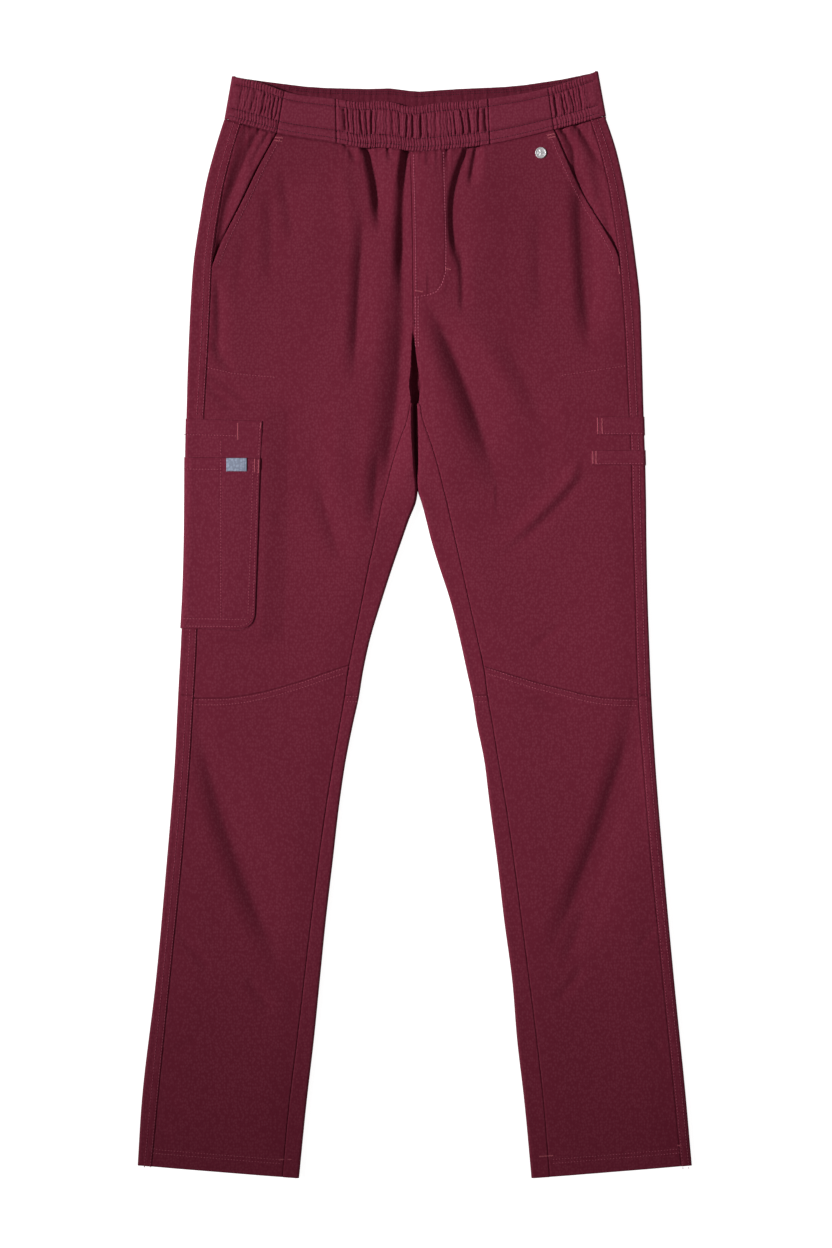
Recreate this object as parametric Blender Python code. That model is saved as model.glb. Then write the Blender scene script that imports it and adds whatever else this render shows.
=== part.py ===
"""Slim cargo scrub trousers, laid flat on their back panels with the front uppermost.

X runs across the garment, with the wearer's right leg at -X, +Y runs up to the waist and +Z up
from the surface that the back panels rest on. The origin is at the middle of the garment's
outline, on that surface. Every length below is in millimetres; MM turns it into metres.
"""
import math
from bisect import bisect_right

import bmesh
import bpy
import numpy as np

MM = 0.001

# Walls, seams and the height of the laid-flat garment
CLOTH = 1.8           # wall of a leg panel
RIDGE_CLOTH = 0.5     # share of a ridge's height that its wall gains
THICKEST = 3.0
BAND_CLOTH = 2.0      # waistband with its elastic
POCKET_CLOTH = 1.0    # pocket and loop cloth
SEAM = 0.3            # gap between two pieces at a seam
LAP = 0.3             # gap between two pieces that lie on each other
EDGE_HEIGHT = 6.0     # front and back layer together at a fold
CROWN = 1.4           # what the middle of a panel gains on its edges
CROWN_REACH = 40.0
TURN_REACH = 3.0      # how far a leg's folded edge reaches sideways
INNER_TURN = 0.6      # most of the inseam strip's width that its folded edge may take
CROTCH_BULK = 3.4     # height that the crotch seams add
CROTCH_Y, CROTCH_ROUND = 232.0, 62.0
FLY_BULK, FLY_Y, FLY_ROUND = 3.0, 405.0, 80.0     # height that the mock fly's layers add
HEM_DEPTH, HEM_BULK = 19.0, 0.5
HEM_TIP, HEM_INNER_X, HEM_OUTER_X = 6.5, 116.0, 277.0    # how far the hems tip, and their ends
CLEAR = 0.4           # least space between the front and back layer
BAND_HEIGHT = 6.8

# Heights where the pieces change
WAIST_ROW, CROTCH_ROW = 490.0, 221.0
KNEE_ROW, HEM_ROW = -70.0, -546.0
WAIST_EASE, KNEE_EASE = 90.0, 60.0     # reach over which a row takes its seam's curve
POCKET_MOUTH_END = 357.0
MOUTH_LAP = 12.0      # how far the pocket side runs under the front
MOUTH_INSET = 0.6     # least distance between the pocket mouth and the outseam
CROTCH_FADE = 60.0    # height above the crotch over which the legs' inner edges die out

# Side lines of each leg: height, folded outer edge, outseam
RIGHT_SIDE = [
    (506, -190.5, -172.0), (475, -200.0, -181.5), (445, -208.0, -189.5), (405, -215.0, -197.0),
    (365, -221.0, -202.2), (325, -224.0, -204.2), (285, -226.0, -206.0), (245, -227.5, -208.3),
    (205, -228.3, -210.5), (165, -229.0, -212.0), (125, -229.2, -212.8), (85, -229.6, -214.0),
    (25, -231.4, -216.0), (-15, -233.7, -217.6), (-75, -237.0, -221.0), (-135, -240.0, -224.5),
    (-235, -248.0, -232.5), (-355, -259.0, -244.5), (-475, -273.0, -256.5), (-555, -278.0, -264.0),
]
LEFT_SIDE = [
    (506, 191.0, 174.5), (475, 201.0, 184.5), (445, 208.0, 192.0), (405, 215.0, 199.0),
    (365, 220.5, 204.3), (325, 225.0, 207.8), (285, 226.5, 210.5), (245, 227.6, 212.3),
    (205, 228.6, 214.2), (165, 230.0, 216.2), (125, 231.0, 217.0), (85, 231.4, 218.3),
    (25, 232.6, 220.0), (-15, 234.0, 221.0), (-75, 236.4, 223.2), (-135, 240.0, 227.5),
    (-235, 248.0, 235.8), (-355, 259.0, 247.5), (-475, 271.0, 259.5), (-555, 278.0, 267.0),
]
# Inner lines of each leg below the crotch: height, inseam, folded inner edge
RIGHT_INSIDE = [
    (221, -4.6, -0.6), (205, -7.5, -0.2), (185, -14.8, 0.2), (155, -24.0, 1.2), (133, -29.5, 2.2),
    (125, -32.0, 1.2), (105, -36.0, -6.0), (85, -40.0, -13.0), (65, -44.5, -20.0),
    (25, -52.5, -33.0), (-15, -60.5, -45.0), (-45, -66.3, -51.5), (-75, -70.5, -56.5),
    (-95, -74.0, -61.0), (-135, -81.0, -69.0), (-175, -87.5, -75.0), (-235, -96.0, -82.0),
    (-295, -103.5, -89.0), (-355, -110.5, -95.0), (-415, -117.5, -101.0), (-475, -125.0, -108.0),
    (-555, -132.5, -116.0),
]
LEFT_INSIDE = [
    (221, 4.6, 0.4), (205, 8.0, 0.8), (185, 15.0, 1.2), (155, 24.0, 2.2), (133, 29.5, 3.4),
    (125, 31.5, 5.6), (105, 36.0, 11.0), (85, 40.5, 16.0), (65, 45.0, 22.0), (25, 54.0, 35.0),
    (-15, 63.0, 45.0), (-45, 69.3, 51.5), (-75, 73.3, 58.0), (-95, 77.0, 61.0),
    (-135, 83.5, 69.0), (-175, 90.3, 74.0), (-235, 99.0, 82.0), (-295, 106.8, 89.0),
    (-355, 114.5, 97.0), (-415, 122.0, 102.0), (-475, 128.5, 109.0), (-555, 135.0, 116.5),
]
# Centre seams above the crotch: height, place across
CENTRE = [(506, -4.0), (472, -4.0), (409, -2.5), (333, -1.5), (275, -1.3), (241, 0.1), (221, -0.1)]
# Slanted pocket mouth from the waistband down to the outseam: height, place across
RIGHT_MOUTH = [(506, -129.0), (489, -138.5), (465, -152.0), (421, -173.5), (380, -194.0),
               (357, -203.0)]
LEFT_MOUTH = [(506, 133.0), (489, 141.0), (477, 146.0), (430, 168.0), (395, 189.0), (371, 202.0),
              (357, 206.0)]
# Groove where the front drops between the legs: height, half width, depth
GROOVE = [(320, 1.4, 0.0), (290, 1.5, 0.5), (275, 1.9, 4.4), (259, 2.9, 5.6), (241, 4.0, 6.0),
          (226, 3.6, 6.0), (215, 3.0, 6.0)]
GROOVE_FLOOR, GROOVE_FLANK = 0.25, 1.05    # flat floor and sloping side, in half widths
GROOVE_LIP = 4.6                           # distance of the main columns from the centre seam
GROOVE_SIDE = 0.6                          # place of the column on the groove's side, in half widths
# Curved knee seam of the front: place across, height
KNEE_SEAM = [(-225, -73), (-185, -72.5), (-156, -68), (-119, -58), (-68, -41), (0, -23), (69, -41),
             (118, -56), (145, -63), (185, -72), (225, -74)]

# Waistband, front and back layer, left to right: top edge x and y, bottom edge x and y
BAND_FRONT = [
    (-183.0, 548.0, -190.5, 505.5), (-152.0, 541.0, -160.0, 497.0), (-130.4, 533.0, -137.7, 491.2),
    (-79.0, 525.4, -78.0, 481.4), (-55.0, 522.2, -53.0, 476.4), (-31.0, 523.0, -31.0, 476.4),
    (-20.0, 521.4, -18.0, 475.2), (-9.0, 518.2, -9.0, 473.6), (1.0, 517.8, 1.0, 472.7),
    (13.0, 519.8, 13.0, 473.2), (29.0, 521.6, 31.0, 474.8), (50.0, 523.0, 51.0, 476.6),
    (73.0, 525.6, 75.0, 479.8), (133.0, 536.3, 139.0, 494.3), (161.0, 545.0, 168.0, 502.0),
    (183.0, 553.0, 191.0, 508.5),
]
BAND_BACK = [
    (-183.0, 548.0, -190.5, 505.5), (-147.0, 543.0, -153.0, 500.6), (-110.0, 538.4, -114.6, 495.5),
    (-89.0, 537.0, -92.6, 493.5), (-47.3, 536.0, -49.3, 490.5), (-25.0, 536.6, -26.0, 489.7),
    (-4.0, 534.0, -4.0, 489.0), (5.0, 533.4, 5.0, 489.3), (19.0, 534.4, 20.0, 489.7),
    (43.6, 536.0, 45.4, 490.5), (89.0, 538.0, 92.9, 494.0), (110.3, 540.0, 114.9, 496.5),
    (147.0, 545.5, 153.0, 502.5), (183.0, 553.0, 191.0, 508.5),
]
BAND_ROWS = (0.0, 0.16, 0.50, 0.84, 1.0)       # top edge, two lines of stitching, bottom edge
SIDE_PIECES = (-130.4, 133.0)                  # top ends of the side seams in the front band
ELASTIC = (-79.0, 73.0)                        # top ends of the front elastic
# Valleys of the gathers, as places along the top edge
GATHERS_FRONT = [-71.0, -67.0, -62.0, -54.6, -49.0, -43.3, -33.0, -23.0, -16.0, -8.0, -2.0, 6.0,
                 12.6, 21.0, 32.0, 35.0, 39.0, 46.7, 53.8, 63.0, 69.5]
GATHERS_RIGHT = [-168.0, -161.5, -156.0, -150.0, -144.0, -138.5, -134.0]
GATHERS_LEFT = [137.6, 144.9, 151.0, 157.0, 162.5, 168.0]
GATHER_DEPTH = 1.5
GATHER_SPAN = 1.85    # half width of one valley
GATHER_AT_EDGE = 0.75 # share of the depth at the band's top and bottom edge

# Folds of the front: start, middle and end of a line across the cloth, half width and height
FOLDS = [
    (-52, 478, -38, 440, -33, 395, 7.5, -3.3), (-14, 474, -12, 410, -18, 340, 7.5, -3.3),
    (47, 474, 33, 405, 41, 335, 7.5, -3.0), (56, 474, 54, 458, 53, 440, 5.5, -1.5),
    (-57, 410, -54, 325, -64, 240, 10.0, -3.0), (-14, 325, -22, 215, -42, 95, 14.0, -3.3),
    (9, 320, 57, 260, 73, 165, 13.0, -3.3), (38, 312, 90, 240, 120, 190, 14.0, 2.6),
    (-28, 470, -32, 410, -38, 350, 8.0, 2.2), (4, 465, 8, 410, 12, 350, 9.0, 1.6),
    (-78, 470, -68, 420, -62, 380, 9.0, 1.8), (62, 470, 56, 420, 62, 360, 10.0, 2.0),
    (-70, 235, -78, 170, -72, 90, 13.0, 2.2), (-12, 290, -22, 215, -26, 150, 9.0, 2.0),
    (170, 190, 130, 150, 85, 90, 12.0, 2.2), (170, 160, 115, 115, 65, 58, 12.0, -2.6),
    (160, 435, 168, 360, 172, 290, 9.0, -2.0), (127, 410, 124, 385, 122, 360, 7.0, -1.1),
    (-148, 440, -144, 395, -143, 345, 9.0, -1.7), (-133, 465, -125, 420, -118, 385, 7.0, -1.2),
    (-192, 345, -186, 300, -176, 262, 8.0, -1.7), (-200, 240, -185, 222, -165, 212, 8.0, -1.3),
    (-102, 132, -83, 95, -72, 58, 10.0, -2.0), (140, 3, 122, -12, 105, -27, 9.0, -1.8),
    (-222, -108, -192, -200, -145, -298, 13.0, -3.0), (-160, -350, -149, -368, -138, -386, 8.0, -2.0),
    (-152, -318, -138, -338, -124, -356, 9.0, 2.2), (222, -93, 183, -215, 135, -312, 13.0, -3.0),
    (175, -280, 165, -292, 155, -306, 8.0, -1.8), (170, -340, 155, -357, 140, -376, 8.0, -1.8),
    (-240, -300, -222, -325, -200, -352, 7.0, -1.5), (240, -303, 232, -312, 222, -322, 6.0, -1.2),
    (-192, -150, -165, -222, -130, -290, 11.0, 1.8), (196, -130, 160, -215, 118, -290, 11.0, 1.8),
]
FOLD_STEPS = 14
FOLD_REACH = 2.2      # how far a fold is felt, in half widths
DEEPEST = -3.3
CALM_EDGE, CALM_REACH = 2.0, 14.0          # folds die out towards a folded edge
CALM_INNER, CALM_CROTCH = 12.0, 15.0       # and towards the legs' inner edges, up to the crotch
CALM_PAD, PAD_SPARE = 12.0, 4.0            # and towards the cloth under a pocket or loop

# What lies over a leg's outer edge: its leg, top and bottom heights, reach of the flat pad below
CARGO_TOP, CARGO_BOTTOM = 206.0, -3.4
LOOP_TOP, LOOP_BOTTOM = 208.5, 159.0
CARGO_PAD, LOOP_PAD = 2 * (POCKET_CLOTH + LAP), POCKET_CLOTH + LAP
PAD_REACH, PAD_EASE, PAD_MARGIN, PAD_RISE = 80.0, 22.0, 5.0, 15.0
CARGO_COVER, LOOP_COVER = 84.0, 62.0     # how much of the leg's width they cover

# Cargo pocket on the right leg: height, front edge across, for the whole and for the outer layer
CARGO_EDGE = [(206, -152.0), (167, -154.0), (90, -156.6), (14, -159.3)]
CARGO_CORNER = [(14.0, 0.0), (7.0, 1.2), (2.0, 4.2), (-1.5, 10.0), (-3.4, 18.0)]
CARGO_OUTER_TOP = 167.5
CARGO_SKEW = 2.4      # how much lower the pocket's top edge sits at its front edge
LOOPS = [("utility_loop_upper", 208.0, 189.5, 181.2), ("utility_loop_lower", 174.5, 159.5, 175.6)]
WRAP = 62.0           # how far a pocket or loop runs on under the leg
LABEL = (-188.0, -167.6, 166.4, 153.2)      # left, right, top and bottom edge
LABEL_CLOTH = 0.8
SNAP_X, SNAP_Y, SNAP_RADIUS, SNAP_RISE, SNAP_SIDES = 125.5, 471.2, 5.8, 1.8, 20

# Cloth and metal colours
BURGUNDY = (0.145, 0.022, 0.040)
BACK_BURGUNDY = (0.150, 0.024, 0.043)
POCKET_BURGUNDY = (0.155, 0.026, 0.045)
BAND_BURGUNDY = (0.160, 0.027, 0.047)
LABEL_BLUE = (0.30, 0.34, 0.42)
STEEL = (0.62, 0.61, 0.61)

# Rows of the panels, as heights at the middle of a panel
UPPER_ROWS = [490, 474, 458, 440, 422, 402, 380, 357, 338, 318, 300, 282, 264, 248, 234, 221, 210,
              196, 180, 162, 144, 126, 106, 84, 54, 24, -6, -26, -48, -70]
LOWER_ROWS = [-70, -92, -116, -144, -176, -208, -240, -272, -304, -336, -366, -400, -440, -484,
              -527, -546]
FRONT_SHARES = [0.0, 0.09, 0.18, 0.27, 0.36, 0.44, 0.52, 0.60, 0.68, 0.76, 0.83, 0.89, 0.95, 1.0]
TURN_ANGLES = [90.0, 50.0, 0.0, -50.0, -90.0]


def smooth_line(rows, column=1):
    """A smooth line through a table's rows, read at any height."""
    ordered = sorted(rows)
    xs = [float(row[0]) for row in ordered]
    ys = [float(row[column]) for row in ordered]
    slopes = list(np.gradient(ys, xs))

    def at(x):
        k = min(max(bisect_right(xs, x) - 1, 0), len(xs) - 2)
        span = xs[k + 1] - xs[k]
        t = min(max((x - xs[k]) / span, 0.0), 1.0)
        start = (1 + 2 * t) * (1 - t) ** 2 * ys[k] + t * (1 - t) ** 2 * span * slopes[k]
        end = t * t * (3 - 2 * t) * ys[k + 1] + t * t * (t - 1) * span * slopes[k + 1]
        return start + end
    return at


def ease(value):
    t = min(max(value, 0.0), 1.0)
    return t * t * (3 - 2 * t)


def along(start, middle, end, t):
    return (1 - t) ** 2 * start + 2 * t * (1 - t) * middle + t * t * end


CENTRE_LINE = smooth_line(CENTRE)
GROOVE_HALF = smooth_line(GROOVE, 1)
GROOVE_DEPTH = smooth_line(GROOVE, 2)
BAND_BOTTOM_FRONT = smooth_line([(row[2], row[3]) for row in BAND_FRONT])
KNEE_FRONT = smooth_line(KNEE_SEAM)

FOLD_LINES = []
for x0, y0, x1, y1, x2, y2, width, rise in FOLDS:
    steps = [(k + 0.5) / FOLD_STEPS for k in range(FOLD_STEPS)]
    line = [(along(x0, x1, x2, t), along(y0, y1, y2, t), ease(4 * t) * ease(4 - 4 * t)) for t in steps]
    FOLD_LINES.append((np.array(line), width, rise))


class Leg:
    """One leg's lines, which side it lies on, and what it rests on beside the floor."""

    def __init__(self, sign, side, inside, mouth, pad, pad_top, pad_bottom, cover):
        self.sign = sign
        self.outer, self.outseam = smooth_line(side, 1), smooth_line(side, 2)
        self.inseam, self.inner = smooth_line(inside, 1), smooth_line(inside, 2)
        self.mouth = smooth_line(mouth)
        self.pad, self.pad_top, self.pad_bottom, self.cover = pad, pad_top, pad_bottom, cover

    def front_edge(self, y):
        """The front panel's outer edge: the pocket mouth, and the outseam below it."""
        outseam = self.outseam(y)
        if y <= POCKET_MOUTH_END:
            return outseam
        return self.sign * min(abs(self.mouth(y)), abs(outseam) - MOUTH_INSET)

    def front_inner(self, y):
        """The last main column of the front: the inseam, or the groove's lip above the crotch."""
        if y <= CROTCH_ROW:
            return self.inseam(y)
        return CENTRE_LINE(y) + self.sign * GROOVE_LIP

    def ground(self, x, y):
        """What the leg lies on: the floor, or a pocket or loop that wraps under its edge."""
        reach = abs(self.outer(y)) - abs(x)
        across = 1 - (reach - PAD_REACH) / PAD_EASE
        up = 1 - (max(y - self.pad_top, self.pad_bottom - y) - PAD_MARGIN) / PAD_RISE
        return self.pad * min(max(across, 0.0), 1.0) * min(max(up, 0.0), 1.0)

    def turn_reach(self, y, inner):
        if not inner:
            return TURN_REACH
        return min(TURN_REACH, INNER_TURN * abs(self.inseam(y) - self.inner(y)))


RIGHT = Leg(-1, RIGHT_SIDE, RIGHT_INSIDE, RIGHT_MOUTH, CARGO_PAD, CARGO_TOP, CARGO_BOTTOM, CARGO_COVER)
LEFT = Leg(1, LEFT_SIDE, LEFT_INSIDE, LEFT_MOUTH, LOOP_PAD, LOOP_TOP, LOOP_BOTTOM, LOOP_COVER)


def folds(x, y):
    """Height that the folds add at a point."""
    total = 0.0
    for line, width, rise in FOLD_LINES:
        gap = np.hypot(line[:, 0] - x, line[:, 1] - y)
        near = int(np.argmin(gap))
        if gap[near] < FOLD_REACH * width:
            total += rise * line[near, 2] * math.exp(-(gap[near] / width) ** 2)
    return max(total, DEEPEST)


def calm(leg, x, y):
    """1 on open cloth, 0 near a folded edge or under a pocket, where the cloth lies smooth."""
    outer = ease((abs(leg.outer(y)) - abs(x) - TURN_REACH - CALM_EDGE) / CALM_REACH)
    inner = 1.0
    if y < CROTCH_ROW + 2 * CALM_CROTCH:
        lower = min(y, CROTCH_ROW)
        inner = ease((leg.sign * (x - leg.inner(lower)) - TURN_REACH) / CALM_INNER
                     + max(y - CROTCH_ROW, 0) / CALM_CROTCH)
    inside = min(abs(x) - (abs(leg.outer(y)) - leg.cover),
                 leg.pad_top + PAD_SPARE - y, y - leg.pad_bottom + PAD_SPARE)
    return outer * inner * ease(-inside / CALM_PAD)


def height(leg, x, y):
    """Height of the front's outer face."""
    edge = abs(leg.outer(y)) - abs(x) - TURN_REACH
    if y < CROTCH_ROW + CROTCH_FADE:
        lower = min(y, CROTCH_ROW)
        edge = min(edge, leg.sign * (x - leg.inner(lower)) - TURN_REACH
                   + CROWN_REACH * max(y - CROTCH_ROW, 0) / CROTCH_FADE)
    bulk = CROTCH_BULK * math.exp(-((x / CROTCH_ROUND) ** 2 + ((y - CROTCH_Y) / CROTCH_ROUND) ** 2))
    bulk += FLY_BULK * math.exp(-((x / FLY_ROUND) ** 2 + ((y - FLY_Y) / FLY_ROUND) ** 2))
    z = leg.ground(x, y) + EDGE_HEIGHT + CROWN * ease(edge / CROWN_REACH) + bulk
    z += folds(x, y) * calm(leg, x, y)
    if y > GROOVE[-1][0]:
        t = abs(x - CENTRE_LINE(y)) / GROOVE_HALF(y)
        z -= GROOVE_DEPTH(y) * (1 - ease((t - GROOVE_FLOOR) / GROOVE_FLANK))
    z += HEM_BULK * ease((HEM_ROW + HEM_DEPTH + 1 - y) / 2)
    return max(z, leg.ground(x, y) + 2 * CLOTH + CLEAR)


def wall_below(leg, x, y):
    """Wall of the front at a point: thicker in a ridge, never into the back layer."""
    z = height(leg, x, y)
    plain = leg.ground(x, y) + EDGE_HEIGHT + CROWN
    wall = min(CLOTH + RIDGE_CLOTH * max(z - plain, 0.0), THICKEST)
    return min(wall, z - leg.ground(x, y) - CLOTH - CLEAR)


def hem_drop(x):
    """The hems tip down towards the inseams."""
    share = (abs(x) - HEM_INNER_X) / (HEM_OUTER_X - HEM_INNER_X)
    return HEM_TIP * (2 * share - 1)


def front_y(x, row):
    """Height of a front row where it crosses x: bent to the waistband and to the knee seam."""
    waist = ease((row - WAIST_ROW + WAIST_EASE) / WAIST_EASE)
    knee = ease(1 - abs(row - KNEE_ROW) / KNEE_EASE)
    hem = ease((HEM_ROW + KNEE_EASE - row) / KNEE_EASE)
    y = row + waist * (BAND_BOTTOM_FRONT(x) - SEAM - WAIST_ROW) + knee * (KNEE_FRONT(x) - KNEE_ROW)
    return y + hem * hem_drop(x)


def band_bottom_back(x):
    """The back band's bottom edge, straight from one table row to the next."""
    return float(np.interp(x, [row[2] for row in BAND_BACK], [row[3] for row in BAND_BACK]))


def back_y(x, row, top):
    """Height of a back row: on the floor side it has its own waist line; its knee seam is level."""
    waist = ease((row - WAIST_ROW + WAIST_EASE) / WAIST_EASE)
    band = BAND_BOTTOM_FRONT(x) if top else band_bottom_back(x)
    hem = ease((HEM_ROW + KNEE_EASE - row) / KNEE_EASE)
    return row + waist * (band - SEAM - WAIST_ROW) + hem * hem_drop(x)


def grid_body(name, outside, inside, colour, roughness=0.85, metallic=0.0, active=None):
    """One closed body between two grids of points in millimetres, rows by columns."""
    rows, columns = len(outside), len(outside[0])
    mesh = bpy.data.meshes.new(name)
    made = bmesh.new()
    corners = {}

    def corner(layer, i, j):
        if (layer, i, j) not in corners:
            point = (outside, inside)[layer][i][j]
            corners[layer, i, j] = made.verts.new([c * MM for c in point])
        return corners[layer, i, j]

    def live(i, j):
        inside_grid = 0 <= i < rows - 1 and 0 <= j < columns - 1
        return inside_grid and (active is None or active(i, j))

    for i in range(rows - 1):
        for j in range(columns - 1):
            if not live(i, j):
                continue
            for layer in (0, 1):
                a, b = corner(layer, i, j), corner(layer, i, j + 1)
                c, d = corner(layer, i + 1, j + 1), corner(layer, i + 1, j)
                for face in ((a, b, c), (a, c, d)):
                    made.faces.new(face if layer == 0 else face[::-1])
            sides = [((i, j), (i, j + 1), (i - 1, j)), ((i, j + 1), (i + 1, j + 1), (i, j + 1)),
                     ((i + 1, j + 1), (i + 1, j), (i + 1, j)), ((i + 1, j), (i, j), (i, j - 1))]
            for start, end, beyond in sides:
                if not live(*beyond):
                    made.faces.new((corner(1, *start), corner(1, *end), corner(0, *end), corner(0, *start)))
    bmesh.ops.recalc_face_normals(made, faces=made.faces)
    made.to_mesh(mesh)
    made.free()
    return finish(name, mesh, colour, roughness, metallic)


def finish(name, mesh, colour, roughness, metallic):
    """The object, its smooth shading and its own material."""
    mesh.shade_smooth()
    mesh.set_sharp_from_angle(angle=math.radians(50))
    body = bpy.data.objects.new(name, mesh)
    bpy.context.scene.collection.objects.link(body)
    material = bpy.data.materials.new(name)
    material.use_nodes = True
    shader = material.node_tree.nodes["Principled BSDF"]
    shader.inputs["Base Color"].default_value = (*colour, 1)
    shader.inputs["Roughness"].default_value = roughness
    shader.inputs["Metallic"].default_value = metallic
    mesh.materials.append(material)
    return body


def front_points(leg, x, y):
    z = height(leg, x, y)
    return (x, y, z), (x, y, z - wall_below(leg, x, y))


def front_panel(name, leg, rows, upper):
    """A front panel, from the pocket mouth and outseam to the centre seam and inseam."""
    outside, inside = [], []
    for row in rows:
        y_outer = front_y(leg.front_edge(row), row)
        y_inner = front_y(leg.front_inner(row), row)
        outer = leg.front_edge(y_outer) - leg.sign * SEAM / 2
        inner = leg.front_inner(y_inner) + leg.sign * SEAM / 2
        lap = outer - leg.sign * MOUTH_LAP
        across = [outer] + [lap + (inner - lap) * share for share in FRONT_SHARES]
        if upper:
            side = GROOVE_SIDE * GROOVE_HALF(row)
            across += [CENTRE_LINE(row) + leg.sign * gap for gap in (side, SEAM / 2)]
        points = []
        for j, x in enumerate(across):
            y = front_y(x, row)
            if upper and row == rows[-1]:
                y += SEAM / 2
            if not upper and row == rows[0]:
                y -= SEAM / 2
            if j > len(FRONT_SHARES) and row == CROTCH_ROW:
                y += SEAM / 2
            points.append(front_points(leg, x, y))
        outside.append([p[0] for p in points])
        inside.append([p[1] for p in points])
    main = len(FRONT_SHARES)
    crotch = rows.index(CROTCH_ROW) if upper else 0
    grid_body(name, outside, inside, BURGUNDY, active=lambda i, j: j < main or i < crotch)


def pocket_side(name, leg):
    """The pocket's own side panel, flush at the outseam and running under the pocket mouth."""
    rows = [row for row in UPPER_ROWS if row >= POCKET_MOUTH_END]
    outside, inside = [], []
    for row in rows:
        last = row == rows[-1]
        mouth = leg.front_edge(front_y(leg.front_edge(row), row)) - leg.sign * SEAM / 2
        y_side = front_y(leg.outseam(row), row)
        seam = leg.outseam(y_side) - leg.sign * SEAM / 2
        width = -leg.sign * max(abs(seam - mouth), 1.0)
        across = [seam + width * share for share in (0.0, 0.45, 0.9)] + [mouth - leg.sign * MOUTH_LAP]
        outer_row, inner_row = [], []
        for x, sunk in zip(across, (1.0,) * 4 if last else (0.0, 0.5, 1.0, 1.0)):
            y = front_y(x, row)
            z = height(leg, x, y) - sunk * (wall_below(leg, x, y) + LAP)
            outer_row.append((x, y, z))
            inner_row.append((x, y, z - POCKET_CLOTH))
        outside.append(outer_row)
        inside.append(inner_row)
    grid_body(name, outside, inside, POCKET_BURGUNDY)


def edge_x(leg, row, line):
    """Where a back row meets one of the leg's lines, at the row's own bent height."""
    return line(back_y(line(row), row, True))


def turned(leg, row, angle, inner, lift, wall):
    """Outer and inner point of a leg's folded edge at an angle: 90 is the top, -90 the underside."""
    edge = edge_x(leg, row, leg.inner if inner else leg.outer)
    reach = leg.turn_reach(row, inner)
    outward = -leg.sign if inner else leg.sign
    centre = edge - outward * reach
    share = (90.0 - angle) / 180.0
    y = back_y(centre, row, True) * (1 - share) + back_y(centre, row, False) * share
    ground = leg.ground(centre, y)
    rise = (height(leg, centre, y) - ground) / 2
    turn = math.radians(angle)
    points = []
    for out in (lift, lift - wall):
        x = centre + outward * (reach + out) * math.cos(turn)
        points.append((x, y, ground + rise + (rise + out) * math.sin(turn)))
    return points


def laid(leg, x, row, lift, wall):
    """Outer and inner point of the layer that lies on the floor."""
    y = back_y(x, row, False)
    z = leg.ground(x, y)
    return [(x, y, z - lift), (x, y, z - lift + wall)]


def topped(leg, x, row, lift, wall):
    """Outer and inner point of the layer that faces up, beside a folded edge."""
    y = back_y(x, row, True)
    z = height(leg, x, y)
    return [(x, y, z + lift), (x, y, z + lift - wall)]


def back_panel(name, leg, rows, upper):
    """A back panel: strip beside the outseam, folded edge, floor, folded inner edge, inseam strip."""
    outside, inside = [], []
    for row in rows:
        sign = leg.sign
        below = row <= CROTCH_ROW
        seam = edge_x(leg, row, leg.outseam) + sign * SEAM / 2
        fold_x = edge_x(leg, row, leg.outer) - sign * TURN_REACH
        points = [topped(leg, seam + (fold_x - seam) * share, row, 0, CLOTH) for share in (0.0, 0.5)]
        points += [turned(leg, row, angle, False, 0, CLOTH) for angle in TURN_ANGLES]
        inner_x = edge_x(leg, row, leg.inner) + sign * leg.turn_reach(row, True)
        stop = inner_x if below else CENTRE_LINE(row) + sign * 2
        pad_end = leg.outer(row) - sign * (PAD_REACH + 1)
        pad_eased = leg.outer(row) - sign * (PAD_REACH + PAD_EASE + 1)
        for x in (pad_end, pad_eased, (pad_eased + stop) / 2):
            points.append(laid(leg, x, row, 0, CLOTH))
        if below:
            points += [turned(leg, row, angle, True, 0, CLOTH) for angle in TURN_ANGLES[::-1]]
            inseam = edge_x(leg, row, leg.inseam) - sign * SEAM / 2
            points += [topped(leg, inner_x + (inseam - inner_x) * share, row, 0, CLOTH)
                       for share in (0.5, 1.0)]
        else:
            points.append(laid(leg, stop, row, 0, CLOTH))
            centre = laid(leg, CENTRE_LINE(row) + sign * SEAM / 2, row, 0, CLOTH)
            points += [centre] * 6
        nudge = -SEAM / 2 if (row == rows[0] and not upper) else 0.0
        nudge = SEAM / 2 if (row == rows[-1] and upper) else nudge
        first_turned = len(points) - 6
        for layer, target in ((0, outside), (1, inside)):
            line = []
            for j, p in enumerate(points):
                notch = -SEAM / 2 if (upper and row == CROTCH_ROW and j >= first_turned) else 0.0
                line.append((p[layer][0], p[layer][1] + nudge + notch, p[layer][2]))
            target.append(line)
    columns = len(outside[0])
    crotch = rows.index(CROTCH_ROW) if upper else 0
    grid_body(name, outside, inside, BACK_BURGUNDY,
              active=lambda i, j: j < columns - 6 or i >= crotch)


def band_station(layer, place):
    """Top and bottom of the waistband at a place along its top edge."""
    if layer == "back":
        columns = list(zip(*BAND_BACK))
        top_y, foot_x, foot_y = (float(np.interp(place, columns[0], column)) for column in columns[1:])
    else:
        place = min(max(place, BAND_FRONT[0][0]), BAND_FRONT[-1][0])
        top_y, foot_x, foot_y = (smooth_line(BAND_FRONT, column)(place) for column in (1, 2, 3))
    return (place, top_y), (foot_x, foot_y)


def gathered(place, valleys):
    """Height that the gathers take away at a place along the band."""
    near = min(abs(place - valley) for valley in valleys)
    return GATHER_DEPTH * math.exp(-(near / GATHER_SPAN) ** 2)


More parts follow.
